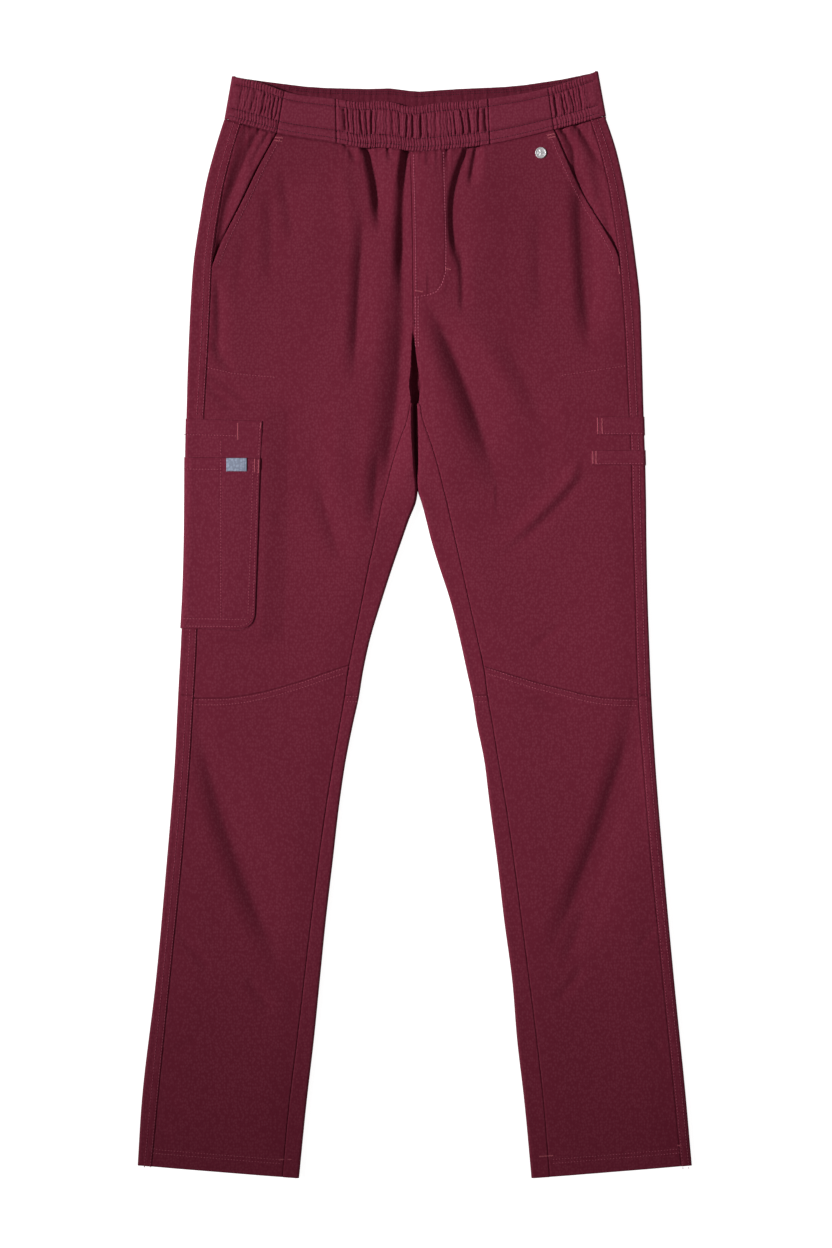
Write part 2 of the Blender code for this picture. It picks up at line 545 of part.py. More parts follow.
def band_body(name, stations, colour):
    """A waistband piece from its stations: (layer, place, turn angle or None, gather)."""
    outside, inside = [], []
    for share in BAND_ROWS:
        outer_row, inner_row = [], []
        for layer, place, angle, take in stations:
            top, foot = band_station(layer, place)
            x, y = (top[k] + (foot[k] - top[k]) * share for k in (0, 1))
            if angle is not None:
                sign = 1 if place > 0 else -1
                turn = math.radians(angle)
                centre = x - sign * TURN_REACH
                middle = BAND_HEIGHT / 2
                for out, target in ((0.0, outer_row), (-BAND_CLOTH, inner_row)):
                    side = centre + sign * (TURN_REACH + out) * math.cos(turn)
                    target.append((side, y, middle + (middle + out) * math.sin(turn)))
            elif layer == "front":
                lift = BAND_HEIGHT - take * (GATHER_AT_EDGE if share in (0.0, 1.0) else 1.0)
                outer_row.append((x, y, lift))
                inner_row.append((x, y, lift - BAND_CLOTH))
            else:
                outer_row.append((x, y, 0.0))
                inner_row.append((x, y, BAND_CLOTH))
        outside.append(outer_row)
        inside.append(inner_row)
    grid_body(name, outside, inside, colour)


def gather_places(start, end, valleys):
    """Places at every valley and at the crest between two of them."""
    places = sorted(v for v in valleys if start < v < end)
    crests = [(a + b) / 2 for a, b in zip(places, places[1:])]
    return sorted([start, *places, *crests, end])


def waistband():
    """Back band with its side ends, and the three pieces of the front band."""
    first, last = BAND_FRONT[0][0], BAND_FRONT[-1][0]
    inset = TURN_REACH + 1.5
    stations = [("front", place, None, gathered(place, GATHERS_RIGHT))
                for place in gather_places(first + inset, SIDE_PIECES[0] - SEAM / 2, GATHERS_RIGHT)[::-1]]
    stations += [("front", first, angle, 0.0) for angle in TURN_ANGLES]
    stations += [("back", row[0], None, 0.0) for row in BAND_BACK[1:-1]]
    stations += [("front", last, angle, 0.0) for angle in TURN_ANGLES[::-1]]
    stations += [("front", place, None, gathered(place, GATHERS_LEFT))
                 for place in gather_places(SIDE_PIECES[1] + SEAM / 2, last - inset, GATHERS_LEFT)[::-1]]
    band_body("waistband_back", stations, BAND_BURGUNDY)
    front = gather_places(ELASTIC[0] + SEAM / 2, ELASTIC[1] - SEAM / 2, GATHERS_FRONT)
    band_body("waistband_elastic_front",
              [("front", place, None, gathered(place, GATHERS_FRONT)) for place in front], BAND_BURGUNDY)
    for name, start, end in (("waistband_plain_right", SIDE_PIECES[0], ELASTIC[0]),
                             ("waistband_plain_left", ELASTIC[1], SIDE_PIECES[1])):
        places = np.linspace(start + SEAM / 2, end - SEAM / 2, 7)
        band_body(name, [("front", float(place), None, 0.0) for place in places], BAND_BURGUNDY)


def wrapped_patch(name, leg, rows, lift, wall, edge, skew):
    """A pocket layer or loop that follows the leg's outer face, round its edge and under it. Its
    rows sit lower at the front edge by the skew."""
    outside, inside = [], []
    for row in rows:
        front = edge(row)
        fold_x = leg.outer(row) - leg.sign * TURN_REACH
        tops = [front + (fold_x - front) * share for share in (0.0, 0.3, 0.6, 0.85)]
        points = []
        for k, x in enumerate(tops):
            tilt = skew * (1 - abs(x - front) / abs(fold_x - front))
            z = height(leg, x, row) + lift
            points.append([(x, row - tilt, z), (x, row - tilt, z - wall)])
        points += [turned(leg, row, angle, False, lift, wall) for angle in TURN_ANGLES]
        for x in (fold_x - leg.sign * WRAP * 0.5, fold_x - leg.sign * WRAP):
            points.append(laid(leg, x, row, lift, wall))
        outside.append([p[0] for p in points])
        inside.append([p[1] for p in points])
    grid_body(name, outside, inside, POCKET_BURGUNDY)


def cargo_pocket():
    """Two pocket layers on the right leg: the inner one shows above the outer one's top edge."""
    edge_line = smooth_line(CARGO_EDGE)

    def edge(row):
        corner = 0.0
        if row < CARGO_CORNER[0][0]:
            corner = smooth_line(CARGO_CORNER)(row)
        return edge_line(row) - corner

    corner_rows = [row for row, _ in CARGO_CORNER]
    inner_rows = [206, 188, 168, 140, 105, 70, 40] + corner_rows
    outer_rows = [CARGO_OUTER_TOP, 140, 105, 70, 40] + corner_rows
    wall = POCKET_CLOTH
    wrapped_patch("cargo_pocket_inner", RIGHT, inner_rows, LAP + wall, wall, edge, CARGO_SKEW)
    wrapped_patch("cargo_pocket_outer", RIGHT, outer_rows, 2 * (LAP + wall), wall, edge, CARGO_SKEW)
    x0, x1, y1, y0 = LABEL
    places = [(x, y) for y in (y1, y0) for x in (x0, x1)]
    rest = max(height(RIGHT, x, y) for x, y in places) + CARGO_PAD + LAP
    outside = [[(x, y, rest + LABEL_CLOTH) for x in (x0, x1)] for y in (y1, y0)]
    inside = [[(x, y, rest) for x in (x0, x1)] for y in (y1, y0)]
    grid_body("label_tab", outside, inside, LABEL_BLUE)


def utility_loops():
    """Two cloth loops on the left leg, sewn down at their front end and wrapped round the edge."""
    for name, top, bottom, front in LOOPS:
        rows = [top, (top + bottom) / 2, bottom]
        wrapped_patch(name, LEFT, rows, LAP + POCKET_CLOTH, POCKET_CLOTH, lambda row: front, 0.0)


def snap():
    """A capped metal snap at the top of the left pocket mouth."""
    reach = np.linspace(0, 2 * math.pi, 12, endpoint=False)
    under = max(height(LEFT, SNAP_X + SNAP_RADIUS * math.cos(a), SNAP_Y + SNAP_RADIUS * math.sin(a))
                for a in reach)
    profile = [(SNAP_RADIUS, 0.0), (SNAP_RADIUS, 0.8), (SNAP_RADIUS * 0.86, 1.3),
               (SNAP_RADIUS * 0.62, 1.3), (SNAP_RADIUS * 0.5, SNAP_RISE), (SNAP_RADIUS * 0.25, SNAP_RISE)]
    mesh = bpy.data.meshes.new("snap_cap")
    made = bmesh.new()
    rings = []
    for radius, up in profile:
        ring = []
        for k in range(SNAP_SIDES):
            turn = 2 * math.pi * k / SNAP_SIDES
            place = (SNAP_X + radius * math.cos(turn), SNAP_Y + radius * math.sin(turn), under + LAP + up)
            ring.append(made.verts.new([c * MM for c in place]))
        rings.append(ring)
    for low, high in zip(rings, rings[1:]):
        for k in range(SNAP_SIDES):
            after = (k + 1) % SNAP_SIDES
            made.faces.new((low[k], low[after], high[after], high[k]))
    made.faces.new(rings[0][::-1])
    made.faces.new(rings[-1])
    bmesh.ops.recalc_face_normals(made, faces=made.faces)
    made.to_mesh(mesh)
    made.free()
    finish("snap_cap", mesh, STEEL, 0.35, 1.0)


for old in list(bpy.data.objects):
    bpy.data.objects.remove(old)
waistband()
for label, leg in (("right", RIGHT), ("left", LEFT)):
    front_panel("front_upper_" + label, leg, UPPER_ROWS, True)
    front_panel("front_lower_" + label, leg, LOWER_ROWS, False)
    back_panel("back_upper_" + label, leg, UPPER_ROWS, True)
    back_panel("back_lower_" + label, leg, LOWER_ROWS, False)
    pocket_side("pocket_side_" + label, leg)
cargo_pocket()
utility_loops()
snap()
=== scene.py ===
import math

import bpy
import numpy as np
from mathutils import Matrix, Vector


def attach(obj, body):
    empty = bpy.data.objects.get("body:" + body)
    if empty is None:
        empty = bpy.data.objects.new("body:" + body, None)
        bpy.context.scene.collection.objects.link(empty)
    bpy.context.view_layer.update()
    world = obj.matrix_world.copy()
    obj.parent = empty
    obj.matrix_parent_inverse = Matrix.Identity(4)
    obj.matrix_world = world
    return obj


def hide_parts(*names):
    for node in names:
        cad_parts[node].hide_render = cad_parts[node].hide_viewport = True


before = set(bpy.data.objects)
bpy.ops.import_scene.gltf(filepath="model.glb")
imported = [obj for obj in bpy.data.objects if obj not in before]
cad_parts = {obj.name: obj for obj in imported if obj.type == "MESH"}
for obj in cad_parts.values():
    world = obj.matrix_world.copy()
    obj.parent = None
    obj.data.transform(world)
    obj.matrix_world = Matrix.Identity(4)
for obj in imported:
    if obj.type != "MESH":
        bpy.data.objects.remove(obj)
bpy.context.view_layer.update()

# ---------------------------------------------------------------------------------------------
# Camera, floor and light. The trousers lie face up on a white floor and are seen from straight
# above. Two soft spot lamps stand together far off on the left, one turned to the waist and a
# weaker one to the knees; a weak panel on the right and a white surround fill the shadows.
SPOT_STAND = (-9.2, 0.65, 7.7)    # where both spot lamps stand, in metres
FLOOR_REACH = 40.0                # half the floor's width, in metres
FLOOR_LEVEL = -0.0004             # just under the cloth


def put(name, data):
    """A new object in the scene."""
    thing = bpy.data.objects.new(name, data)
    bpy.context.scene.collection.objects.link(thing)
    return thing


def set_sockets(node, values):
    for socket, value in values.items():
        node.inputs[socket].default_value = value


def lamp(name, kind, place, aim, watts, **settings):
    """A lamp at a place, turned towards its aim."""
    light = bpy.data.lights.new(name, kind)
    light.energy = watts
    for setting, value in settings.items():
        setattr(light, setting, value)
    stand = put(name, light)
    stand.location = place
    stand.rotation_euler = (Vector(aim) - Vector(place)).to_track_quat("-Z", "Y").to_euler()


eye = bpy.data.cameras.new("camera")
eye.lens = 100
eye.sensor_width = 36
camera = put("camera", eye)
camera.location = (0.001, 0.001, 3.467)
bpy.context.scene.camera = camera
bpy.context.scene.view_settings.view_transform = "Standard"

surround = bpy.data.worlds.new("surround")
surround.use_nodes = True
set_sockets(surround.node_tree.nodes["Background"], {"Color": (1.0, 0.99, 0.98, 1), "Strength": 0.16})
bpy.context.scene.world = surround

lamp("soft_spot", "SPOT", SPOT_STAND, (0.16, 0.50, 0.0), 9100.0, shadow_soft_size=0.8,
     spot_size=math.radians(12.8), spot_blend=0.9)
lamp("knee_spot", "SPOT", SPOT_STAND, (0.05, -0.08, 0.0), 3300.0, shadow_soft_size=0.3,
     spot_size=math.radians(5.6), spot_blend=1.0)
lamp("side_panel", "AREA", (1.4, 0.6, 1.3), (0.1, 0.15, 0.0), 5.0, shape="DISK", size=1.0)

floor = bpy.data.meshes.new("white_floor")
corners = [(x * FLOOR_REACH, y * FLOOR_REACH, FLOOR_LEVEL)
           for x, y in ((-1, -1), (1, -1), (1, 1), (-1, 1))]
floor.from_pydata(corners, [], [(0, 1, 2, 3)])
floor_sheet = put("white_floor", floor)
# The floor gives off its own white light, so it stays an even white beyond the lamps
white = bpy.data.materials.new("white_floor")
white.use_nodes = True
set_sockets(white.node_tree.nodes["Principled BSDF"], {
    "Base Color": (0.3, 0.3, 0.3, 1), "Roughness": 0.9, "Specular IOR Level": 0.0,
    "Emission Color": (1, 1, 1, 1), "Emission Strength": 0.93})
floor.materials.append(white)

# ---------------------------------------------------------------------------------------------
# Back panels. Each leg's back thigh and back calf are cut from stretch twill. They lie on the
# floor, turn up round both edges of the leg and meet the front at the outseam and the inseam.
MM = 0.001
CLOTH = 0.8           # thickness of the twill, in millimetres as every length below
SEAM = -0.04          # seams close fully: the two pieces press into each other by this much
EDGE_HEIGHT = 6.0     # front and back layer together at a folded edge
CROWN, CROWN_REACH = 1.4, 40.0
TURN_REACH = 3.0      # how far a leg's folded edge reaches sideways
INNER_ROUNDER, FORK_Y, FORK_REACH = 2.8, 200.0, 50.0     # the inner edges are rounder at the fork
CROTCH_BULK, CROTCH_Y, CROTCH_ROUND = 7.8, 215.0, 100.0
FLY_BULK, FLY_Y, FLY_ROUND = 4.6, 405.0, 80.0
HEM_DEPTH, HEM_BULK = 19.0, 0.7
HEM_TIP, HEM_INNER_X, HEM_OUTER_X = 6.5, 116.0, 277.0
WAIST_ROW, CROTCH_ROW, KNEE_ROW, HEM_ROW = 490.0, 221.0, -70.0, -546.0
WAIST_EASE, KNEE_EASE = 90.0, 60.0
POCKET_MOUTH_END = 357.0
CENTRE_STRIP = 4.6    # strip of each front beside the centre seam
FORK_FADE = 60.0      # above the crotch, the inner edges fade out over this height
FAR = 99.0            # a gap that stands for no seam near
# A pocket or loop under the leg: how far in it reaches, and how it ends inwards and lengthwise
PAD_REACH, PAD_SLOPE, PAD_LAP, PAD_END = 80.0, 22.0, 5.0, 15.0
CALM_EDGE, CALM_PATCH = 14.0, 12.0     # folds fade over this much, at the edge and at a pocket
UNDER_SWELL, UNDER_PITCH = 0.35, 90.0  # the underside's slow swell between its edges

# Side lines of each leg: height, folded outer edge, outseam
RIGHT_SIDE = [
    (506, -190.5, -172.0), (475, -200.0, -181.5), (445, -208.0, -189.5), (405, -215.0, -197.0),
    (365, -221.0, -202.2), (325, -224.0, -204.2), (285, -226.0, -206.0), (245, -227.5, -208.3),
    (205, -228.3, -210.5), (165, -229.0, -212.0), (125, -229.2, -212.8), (85, -229.6, -214.0),
    (25, -231.4, -216.0), (-15, -233.7, -217.6), (-75, -237.0, -221.0), (-135, -240.0, -224.5),
    (-235, -248.0, -232.5), (-355, -259.0, -244.5), (-475, -273.0, -256.5), (-555, -278.0, -264.0),
]
LEFT_SIDE = [
    (506, 191.0, 174.5), (475, 201.0, 184.5), (445, 208.0, 192.0), (405, 215.0, 199.0),
    (365, 220.5, 204.3), (325, 225.0, 207.8), (285, 226.5, 210.5), (245, 227.6, 212.3),
    (205, 228.6, 214.2), (165, 230.0, 216.2), (125, 231.0, 217.0), (85, 231.4, 218.3),
    (25, 232.6, 220.0), (-15, 234.0, 221.0), (-75, 236.4, 223.2), (-135, 240.0, 227.5),
    (-235, 248.0, 235.8), (-355, 259.0, 247.5), (-475, 271.0, 259.5), (-555, 278.0, 267.0),
]
# Inner lines of each leg below the crotch: height, inseam, folded inner edge
RIGHT_INSIDE = [
    (221, -4.6, 0.1), (205, -7.5, 0.4), (185, -14.8, 0.8), (155, -24.0, 1.8), (133, -29.5, 2.7),
    (125, -32.0, 1.6), (105, -36.0, -6.0), (85, -40.0, -13.0), (65, -44.5, -20.0),
    (25, -52.5, -33.0), (-15, -60.5, -45.0), (-45, -66.3, -51.5), (-75, -70.5, -56.5),
    (-95, -74.0, -61.0), (-135, -81.0, -69.0), (-175, -87.5, -75.0), (-235, -96.0, -82.0),
    (-295, -103.5, -89.0), (-355, -110.5, -95.0), (-415, -117.5, -101.0), (-475, -125.0, -108.0),
    (-555, -132.5, -116.0),
]
LEFT_INSIDE = [
    (221, 4.6, -0.1), (205, 8.0, 0.2), (185, 15.0, 0.6), (155, 24.0, 1.6), (133, 29.5, 2.8),
    (125, 31.5, 5.6), (105, 36.0, 11.0), (85, 40.5, 16.0), (65, 45.0, 22.0), (25, 54.0, 35.0),
    (-15, 63.0, 45.0), (-45, 69.3, 51.5), (-75, 73.3, 58.0), (-95, 77.0, 61.0),
    (-135, 83.5, 69.0), (-175, 90.3, 74.0), (-235, 99.0, 82.0), (-295, 106.8, 89.0),
    (-355, 114.5, 97.0), (-415, 122.0, 102.0), (-475, 128.5, 109.0), (-555, 135.0, 116.5),
]
CENTRE = [(506, -4.0), (472, -4.0), (409, -2.5), (333, -1.5), (275, -1.3), (241, 0.5), (221, 0.0)]
RIGHT_MOUTH = [(506, -129.0), (489, -138.5), (465, -152.0), (421, -173.5), (380, -194.0),
               (357, -203.0)]
LEFT_MOUTH = [(506, 133.0), (489, 141.0), (477, 146.0), (430, 168.0), (395, 189.0), (371, 202.0),
              (357, 206.0)]
# Groove where the front drops between the legs: height, half width, depth
GROOVE = [(320, 1.0, 0.0), (290, 1.2, 1.2), (276, 1.8, 9.0), (261, 2.9, 13.0), (250, 4.2, 14.0),
          (241, 5.4, 14.0), (232, 4.5, 14.0), (226, 3.8, 14.0), (215, 3.0, 14.0), (190, 2.2, 7.0),
          (160, 2.2, 3.0), (132, 2.0, 0.0)]
GROOVE_FLOOR, GROOVE_FLANK = 0.8, 0.4      # flat floor and steep side, in half widths
FORK_LIFT, FORK_ROUND = 3.1, 22.0          # the right leg's inner edge lies that much higher
KNEE_SEAM = [(-225, -73), (-185, -72.5), (-156, -68), (-119, -58), (-68, -41),
             (0, -23), (69, -41), (118, -56), (145, -63), (185, -72), (225, -74)]
# Waistband's bottom edge, at the front and at the back
BAND_FOOT_FRONT = [(-190.5, 505.5), (-160, 497), (-137.7, 491.2), (-78, 481.4), (-53, 476.4),
                   (-31, 476.4), (-18, 475.2), (-9, 473.6), (1, 472.7), (13, 473.2), (31, 474.8),
                   (51, 476.6), (75, 479.8), (139, 494.3), (168, 502), (191, 508.5)]
BAND_FOOT_BACK = [(-190.5, 505.5), (-153, 500.6), (-114.6, 495.5), (-92.6, 493.5), (-49.3, 490.5),
                  (-26, 489.7), (-4, 489), (5, 489.3), (20, 489.7), (45.4, 490.5), (92.9, 494),
                  (114.9, 496.5), (153, 502.5), (191, 508.5)]

# Folds of the laid cloth: start, middle and end of a line, how far it reaches to its right-leg
# side and to its left-leg side, height, and how much of that is there at the start and at the end
FOLDS = [
    # gathers that run down from the elastic
    (-51, 480, -36, 454, -36, 385, 9.0, 34.0, -7.4, 0.9, 0.0),
    (-8, 480, -14, 410, -13, 318, 11.0, 44.0, -7.6, 0.9, 0.1),
    (-10, 478, -13, 458, -14, 432, 5.0, 16.0, -1.8, 1.0, 0.0),
    (54, 480, 22, 410, 51, 345, 7.0, 40.0, -5.3, 0.9, 0.0),
    (62, 480, 59, 462, 54, 434, 5.0, 12.0, -4.0, 0.9, 0.0),
    (45, 385, 48, 340, 47, 305, 5.0, 14.0, -2.0, 0.0, 0.0),
    (-70, 480, -62, 470, -57, 460, 5.0, 7.0, -1.8, 1.0, 0.0),
    (-27, 478, -25, 470, -23, 461, 5.0, 6.0, -1.8, 1.0, 0.0),
    (13, 476, 13, 467, 13, 456, 5.0, 6.0, -1.4, 1.0, 0.0),
    (33, 478, 31, 468, 30, 455, 5.0, 7.0, -1.2, 1.0, 0.0),
    (-76, 470, -66, 420, -62, 380, 9.0, 8.0, 1.0, 0.0, 0.0),
    # soft folds down both sides of the fork
    (-51, 422, -55, 335, -62, 230, 12.0, 40.0, -4.9, 0.0, 0.0),
    (-13, 362, -8, 227, -40, 92, 26.0, 40.0, -8.6, 0.25, 0.0),
    (-37, 180, -39, 135, -43, 92, 12.0, 16.0, -2.4, 0.0, 0.0),
    (12, 325, 52, 252, 80, 148, 21.0, 50.0, -8.0, 0.2, 0.2),
    (22, 322, 75, 285, 112, 208, 13.0, 13.0, 1.6, 0.0, 0.0),
    (84, 300, 108, 240, 135, 192, 26.0, 40.0, -1.5, 0.0, 0.0),
    (-72, 240, -84, 170, -74, 95, 12.0, 12.0, 1.0, 0.0, 0.0),
    # drag lines of the thighs
    (183, 179, 141, 125, 89, 78, 8.0, 6.0, 2.2, 0.2, 0.1),
    (180, 168, 150, 114, 68, 56, 9.0, 12.0, -1.0, 0.1, 0.0),
    (112, -27, 131, -13, 150, 5, 8.0, 8.0, -0.8, 0.0, 0.0),
    (-97, 152, -88, 105, -70, 56, 14.0, 30.0, -1.8, 0.0, 0.0),
    (-153, 108, -135, 106, -110, 103, 8.0, 8.0, -0.8, 0.8, 0.0),
    # hips, beside the pockets
    (163, 455, 172, 380, 174, 262, 16.0, 36.0, -7.5, 0.2, 0.0),
    (124, 430, 123, 360, 126, 290, 16.0, 40.0, -1.6, 0.0, 0.0),
    (-147, 447, -141, 395, -146, 330, 14.0, 40.0, -1.8, 0.0, 0.0),
    (-134, 462, -126, 415, -120, 378, 12.0, 40.0, -1.9, 0.0, 0.0),
    (-168, 410, -174, 350, -182, 315, 10.0, 20.0, -0.6, 0.0, 0.0),
    (-198, 352, -195, 315, -196, 260, 7.0, 14.0, -2.4, 0.1, 0.1),
    (-203, 290, -196, 268, -180, 250, 8.0, 12.0, -1.6, 0.3, 0.0),
    (-207, 252, -185, 238, -160, 220, 10.0, 12.0, -1.3, 0.8, 0.0),
    (-206, 240, -190, 222, -175, 210, 8.0, 9.0, -1.1, 0.8, 0.0),
    # calves
    (-217, -100, -190, -215, -128, -355, 20.0, 60.0, -5.6, 0.2, 0.1),
    (-170, -348, -158, -366, -140, -388, 10.0, 12.0, -1.2, 0.0, 0.0),
    (-237, -306, -220, -325, -200, -352, 8.0, 12.0, -1.0, 0.8, 0.0),
    (-241, -425, -230, -420, -214, -414, 6.0, 6.0, -0.8, 0.8, 0.0),
    (-252, -468, -240, -482, -224, -498, 9.0, 9.0, -0.6, 0.5, 0.0),
    (-257, -501, -249, -508, -240, -514, 6.0, 6.0, -0.7, 0.8, 0.0),
    (216, -88, 199, -205, 132, -330, 19.0, 60.0, -6.8, 0.15, 0.1),
    (175, -272, 164, -305, 146, -345, 14.0, 24.0, -2.0, 0.0, 0.0),
    (171, -336, 160, -358, 134, -380, 8.0, 9.0, -1.3, 0.0, 0.0),
    (190, -250, 181, -300, 172, -332, 10.0, 20.0, -0.6, 0.0, 0.0),
    (239, -304, 230, -314, 220, -324, 7.0, 7.0, -0.8, 0.9, 0.0),
    (246, -424, 242, -419, 234, -416, 6.0, 6.0, -0.7, 0.8, 0.0),
    (116, -72, 138, -83, 164, -80, 8.0, 10.0, -1.6, 0.2, 0.2),
]
SHALLOWEST = 2 * CLOTH + 0.3    # least height of the front over what the leg lies on
SOFTNESS = 0.5                  # how gently a deep fold comes to rest at that height


def smooth_line(rows, column=1):
    """A smooth line through a table's rows, read at any height."""
    ordered = sorted(rows)
    xs = np.array([row[0] for row in ordered], float)
    ys = np.array([row[column] for row in ordered], float)
    slopes = np.gradient(ys, xs)

    def at(x):
        x = np.asarray(x, float)
        k = np.clip(np.searchsorted(xs, x, side="right") - 1, 0, len(xs) - 2)
        span = xs[k + 1] - xs[k]
        t = np.clip((x - xs[k]) / span, 0.0, 1.0)
        start = (1 + 2 * t) * (1 - t) ** 2 * ys[k] + t * (1 - t) ** 2 * span * slopes[k]
        end = t * t * (3 - 2 * t) * ys[k + 1] + t * t * (t - 1) * span * slopes[k + 1]
        return start + end
    return at


def ease(value):
    """A smooth step from 0 to 1."""
    t = np.clip(value, 0.0, 1.0)
    return t * t * (3 - 2 * t)


def bent(x0, y0, x1, y1, x2, y2, steps=16):
    """Points of a curve bent towards its middle point."""
    t = np.linspace(0, 1, steps + 1)[:, None]
    points = (1 - t) ** 2 * [x0, y0] + 2 * t * (1 - t) * np.array([x1, y1]) + t * t * [x2, y2]
    return points


def beside(x, y, curve):
    """Distance from each point to a curve, how far along it the nearest place is, and whether
    the point lies on its left-leg side."""
    best, place, side = np.full(x.shape, 1e9), np.zeros(x.shape), np.zeros(x.shape, bool)
    for k, ((ax, ay), (bx, by)) in enumerate(zip(curve, curve[1:])):
        dx, dy = bx - ax, by - ay
        t = np.clip(((x - ax) * dx + (y - ay) * dy) / (dx * dx + dy * dy), 0, 1)
        gap = np.hypot(x - ax - t * dx, y - ay - t * dy)
        nearer = gap < best
        place = np.where(nearer, (k + t) / (len(curve) - 1), place)
        side = np.where(nearer, x > ax + t * dx, side)
        best = np.minimum(gap, best)
    return best, place, side


def creases(x, y, rows):
    """Height that a table of folds adds at each point. A ridge is round; a fold grows steeper on
    both sides towards its line, and is narrower where it starts out of a seam."""
    total = np.zeros(x.shape)
    for *line, right, left, rise, first, last in rows:
        curve = bent(*line)
        margin = (2.6 if rise > 0 else 1.0) * max(right, left)
        low, high = curve.min(axis=0) - margin, curve.max(axis=0) + margin
        near = (x > low[0]) & (x < high[0]) & (y > low[1]) & (y < high[1])
        if not near.any():
            continue
        gap, t, side = beside(x[near], y[near], curve)
        strength = (first + (1 - first) * ease(3 * t)) * (last + (1 - last) * ease(3 - 3 * t))
        reach = np.where(side, left, right) * (1 - 0.5 * first * (1 - ease(2.5 * t)))
        tight = 0.5 + 0.10 * min(right, left)
        crease = np.clip(1 - (np.hypot(gap, tight) - tight) / reach, 0, 1) ** 2
        total[near] += rise * strength * (np.exp(-(gap / reach) ** 2) if rise > 0 else crease)
    return total


def waves(s, pitch, seed=0.0):
    """Uneven waves of about that pitch, between -1 and 1, for puckers and gathers."""
    turn = 2 * math.pi * np.asarray(s) / pitch
    return (np.sin(turn + seed) + np.sin(0.63 * turn + 2.1 + 2 * seed)
            + 0.8 * np.sin(1.57 * turn + 4.4 + seed)) / 2.8


centre_line = smooth_line(CENTRE)
groove_half, groove_depth = smooth_line(GROOVE, 1), smooth_line(GROOVE, 2)
knee_seam = smooth_line(KNEE_SEAM)
band_foot_front = smooth_line(BAND_FOOT_FRONT)


def band_foot_back(x):
    return np.interp(x, [row[0] for row in BAND_FOOT_BACK], [row[1] for row in BAND_FOOT_BACK])


def at_fork(y):
    """1 where the two legs' inner edges part, 0 far from there."""
    return np.exp(-((y - FORK_Y) / FORK_REACH) ** 2)


class Leg:
    """One leg's lines, which side it lies on, and what it rests on beside the floor."""

    def __init__(self, side, sign, edges, inside, mouth, pad, pad_top, pad_bottom, cover):
        self.side, self.sign = side, sign
        self.outer, self.outseam = smooth_line(edges, 1), smooth_line(edges, 2)
        self.inseam, self.inner = smooth_line(inside, 1), smooth_line(inside, 2)
        self.mouth = smooth_line(mouth)
        self.pad, self.pad_top, self.pad_bottom, self.cover = pad, pad_top, pad_bottom, cover

    def front_edge(self, y):
        outseam = self.outseam(y)
        opening = self.sign * np.minimum(abs(self.mouth(y)), abs(outseam) - 0.6)
        return np.where(y <= POCKET_MOUTH_END, outseam, opening)

    def front_inner(self, y):
        beside_centre = centre_line(y) + self.sign * CENTRE_STRIP
        return np.where(y <= CROTCH_ROW, self.inseam(y), beside_centre)

    def ground(self, x, y):
        """What the leg lies on: the floor, or a pocket or loop that wraps under its edge."""
        reach = abs(self.outer(y)) - abs(x)
        across = 1 - (reach - PAD_REACH) / PAD_SLOPE
        up = 1 - (np.maximum(y - self.pad_top, self.pad_bottom - y) - PAD_LAP) / PAD_END
        return self.pad * np.clip(across, 0, 1) * np.clip(up, 0, 1)

    def turn_reach(self, y, inner):
        """How far a folded edge reaches sideways: more at the fork, and never past the inseam."""
        if not inner:
            return np.full(np.shape(y), TURN_REACH)
        room = abs(self.inseam(y) - self.inner(y))
        return np.minimum(TURN_REACH + INNER_ROUNDER * at_fork(y), 0.95 * room)


RIGHT = Leg("right", -1, RIGHT_SIDE, RIGHT_INSIDE, RIGHT_MOUTH, 2.6, 206.0, -3.4, 84.0)
LEFT = Leg("left", 1, LEFT_SIDE, LEFT_INSIDE, LEFT_MOUTH, 1.3, 208.5, 159.0, 62.0)


def calm(leg, x, y):
    """1 on open cloth, 0 at the outer edge or under a pocket, where the cloth lies smooth."""
    outer = ease((abs(leg.outer(y)) - abs(x) - TURN_REACH - 2) / CALM_EDGE)
    inside = np.minimum(abs(x) - (abs(leg.outer(y)) - leg.cover), leg.pad_top + 4 - y)
    inside = np.minimum(inside, y - leg.pad_bottom + 4)
    return outer * ease(-inside / CALM_PATCH)


def height(leg, x, y):
    """Height of the front's outer face, before seams and stitching."""
    x, y = np.broadcast_arrays(np.asarray(x, float), np.asarray(y, float))
    edge = abs(leg.outer(y)) - abs(x) - TURN_REACH
    lower = np.minimum(y, CROTCH_ROW)
    within = leg.sign * (x - leg.inner(lower)) - TURN_REACH
    within = within + CROWN_REACH * np.maximum(y - CROTCH_ROW, 0) / FORK_FADE
    edge = np.where(y < CROTCH_ROW + FORK_FADE, np.minimum(edge, within), edge)
    bulk = CROTCH_BULK * np.exp(-((x / CROTCH_ROUND) ** 2 + ((y - CROTCH_Y) / CROTCH_ROUND) ** 2))
    bulk = bulk - leg.sign * FORK_LIFT * at_fork(y) * np.exp(-(x / FORK_ROUND) ** 2)
    bulk = bulk + FLY_BULK * np.exp(-((x / FLY_ROUND) ** 2 + ((y - FLY_Y) / FLY_ROUND) ** 2))
    ground = leg.ground(x, y)
    z = ground + EDGE_HEIGHT + CROWN * ease(edge / CROWN_REACH) + bulk
    z = z + creases(x, y, FOLDS) * calm(leg, x, y)
    t = abs(x - centre_line(y)) / groove_half(y)
    groove = groove_depth(y) * (1 - ease((t - GROOVE_FLOOR) / GROOVE_FLANK))
    z = z - np.where(y > GROOVE[-1][0], groove, 0.0)
    z = z + HEM_BULK * ease((HEM_ROW + HEM_DEPTH + 1 - y) / 2)
    spare = (z - ground - SHALLOWEST) / SOFTNESS
    return ground + SHALLOWEST + SOFTNESS * np.logaddexp(0, spare)


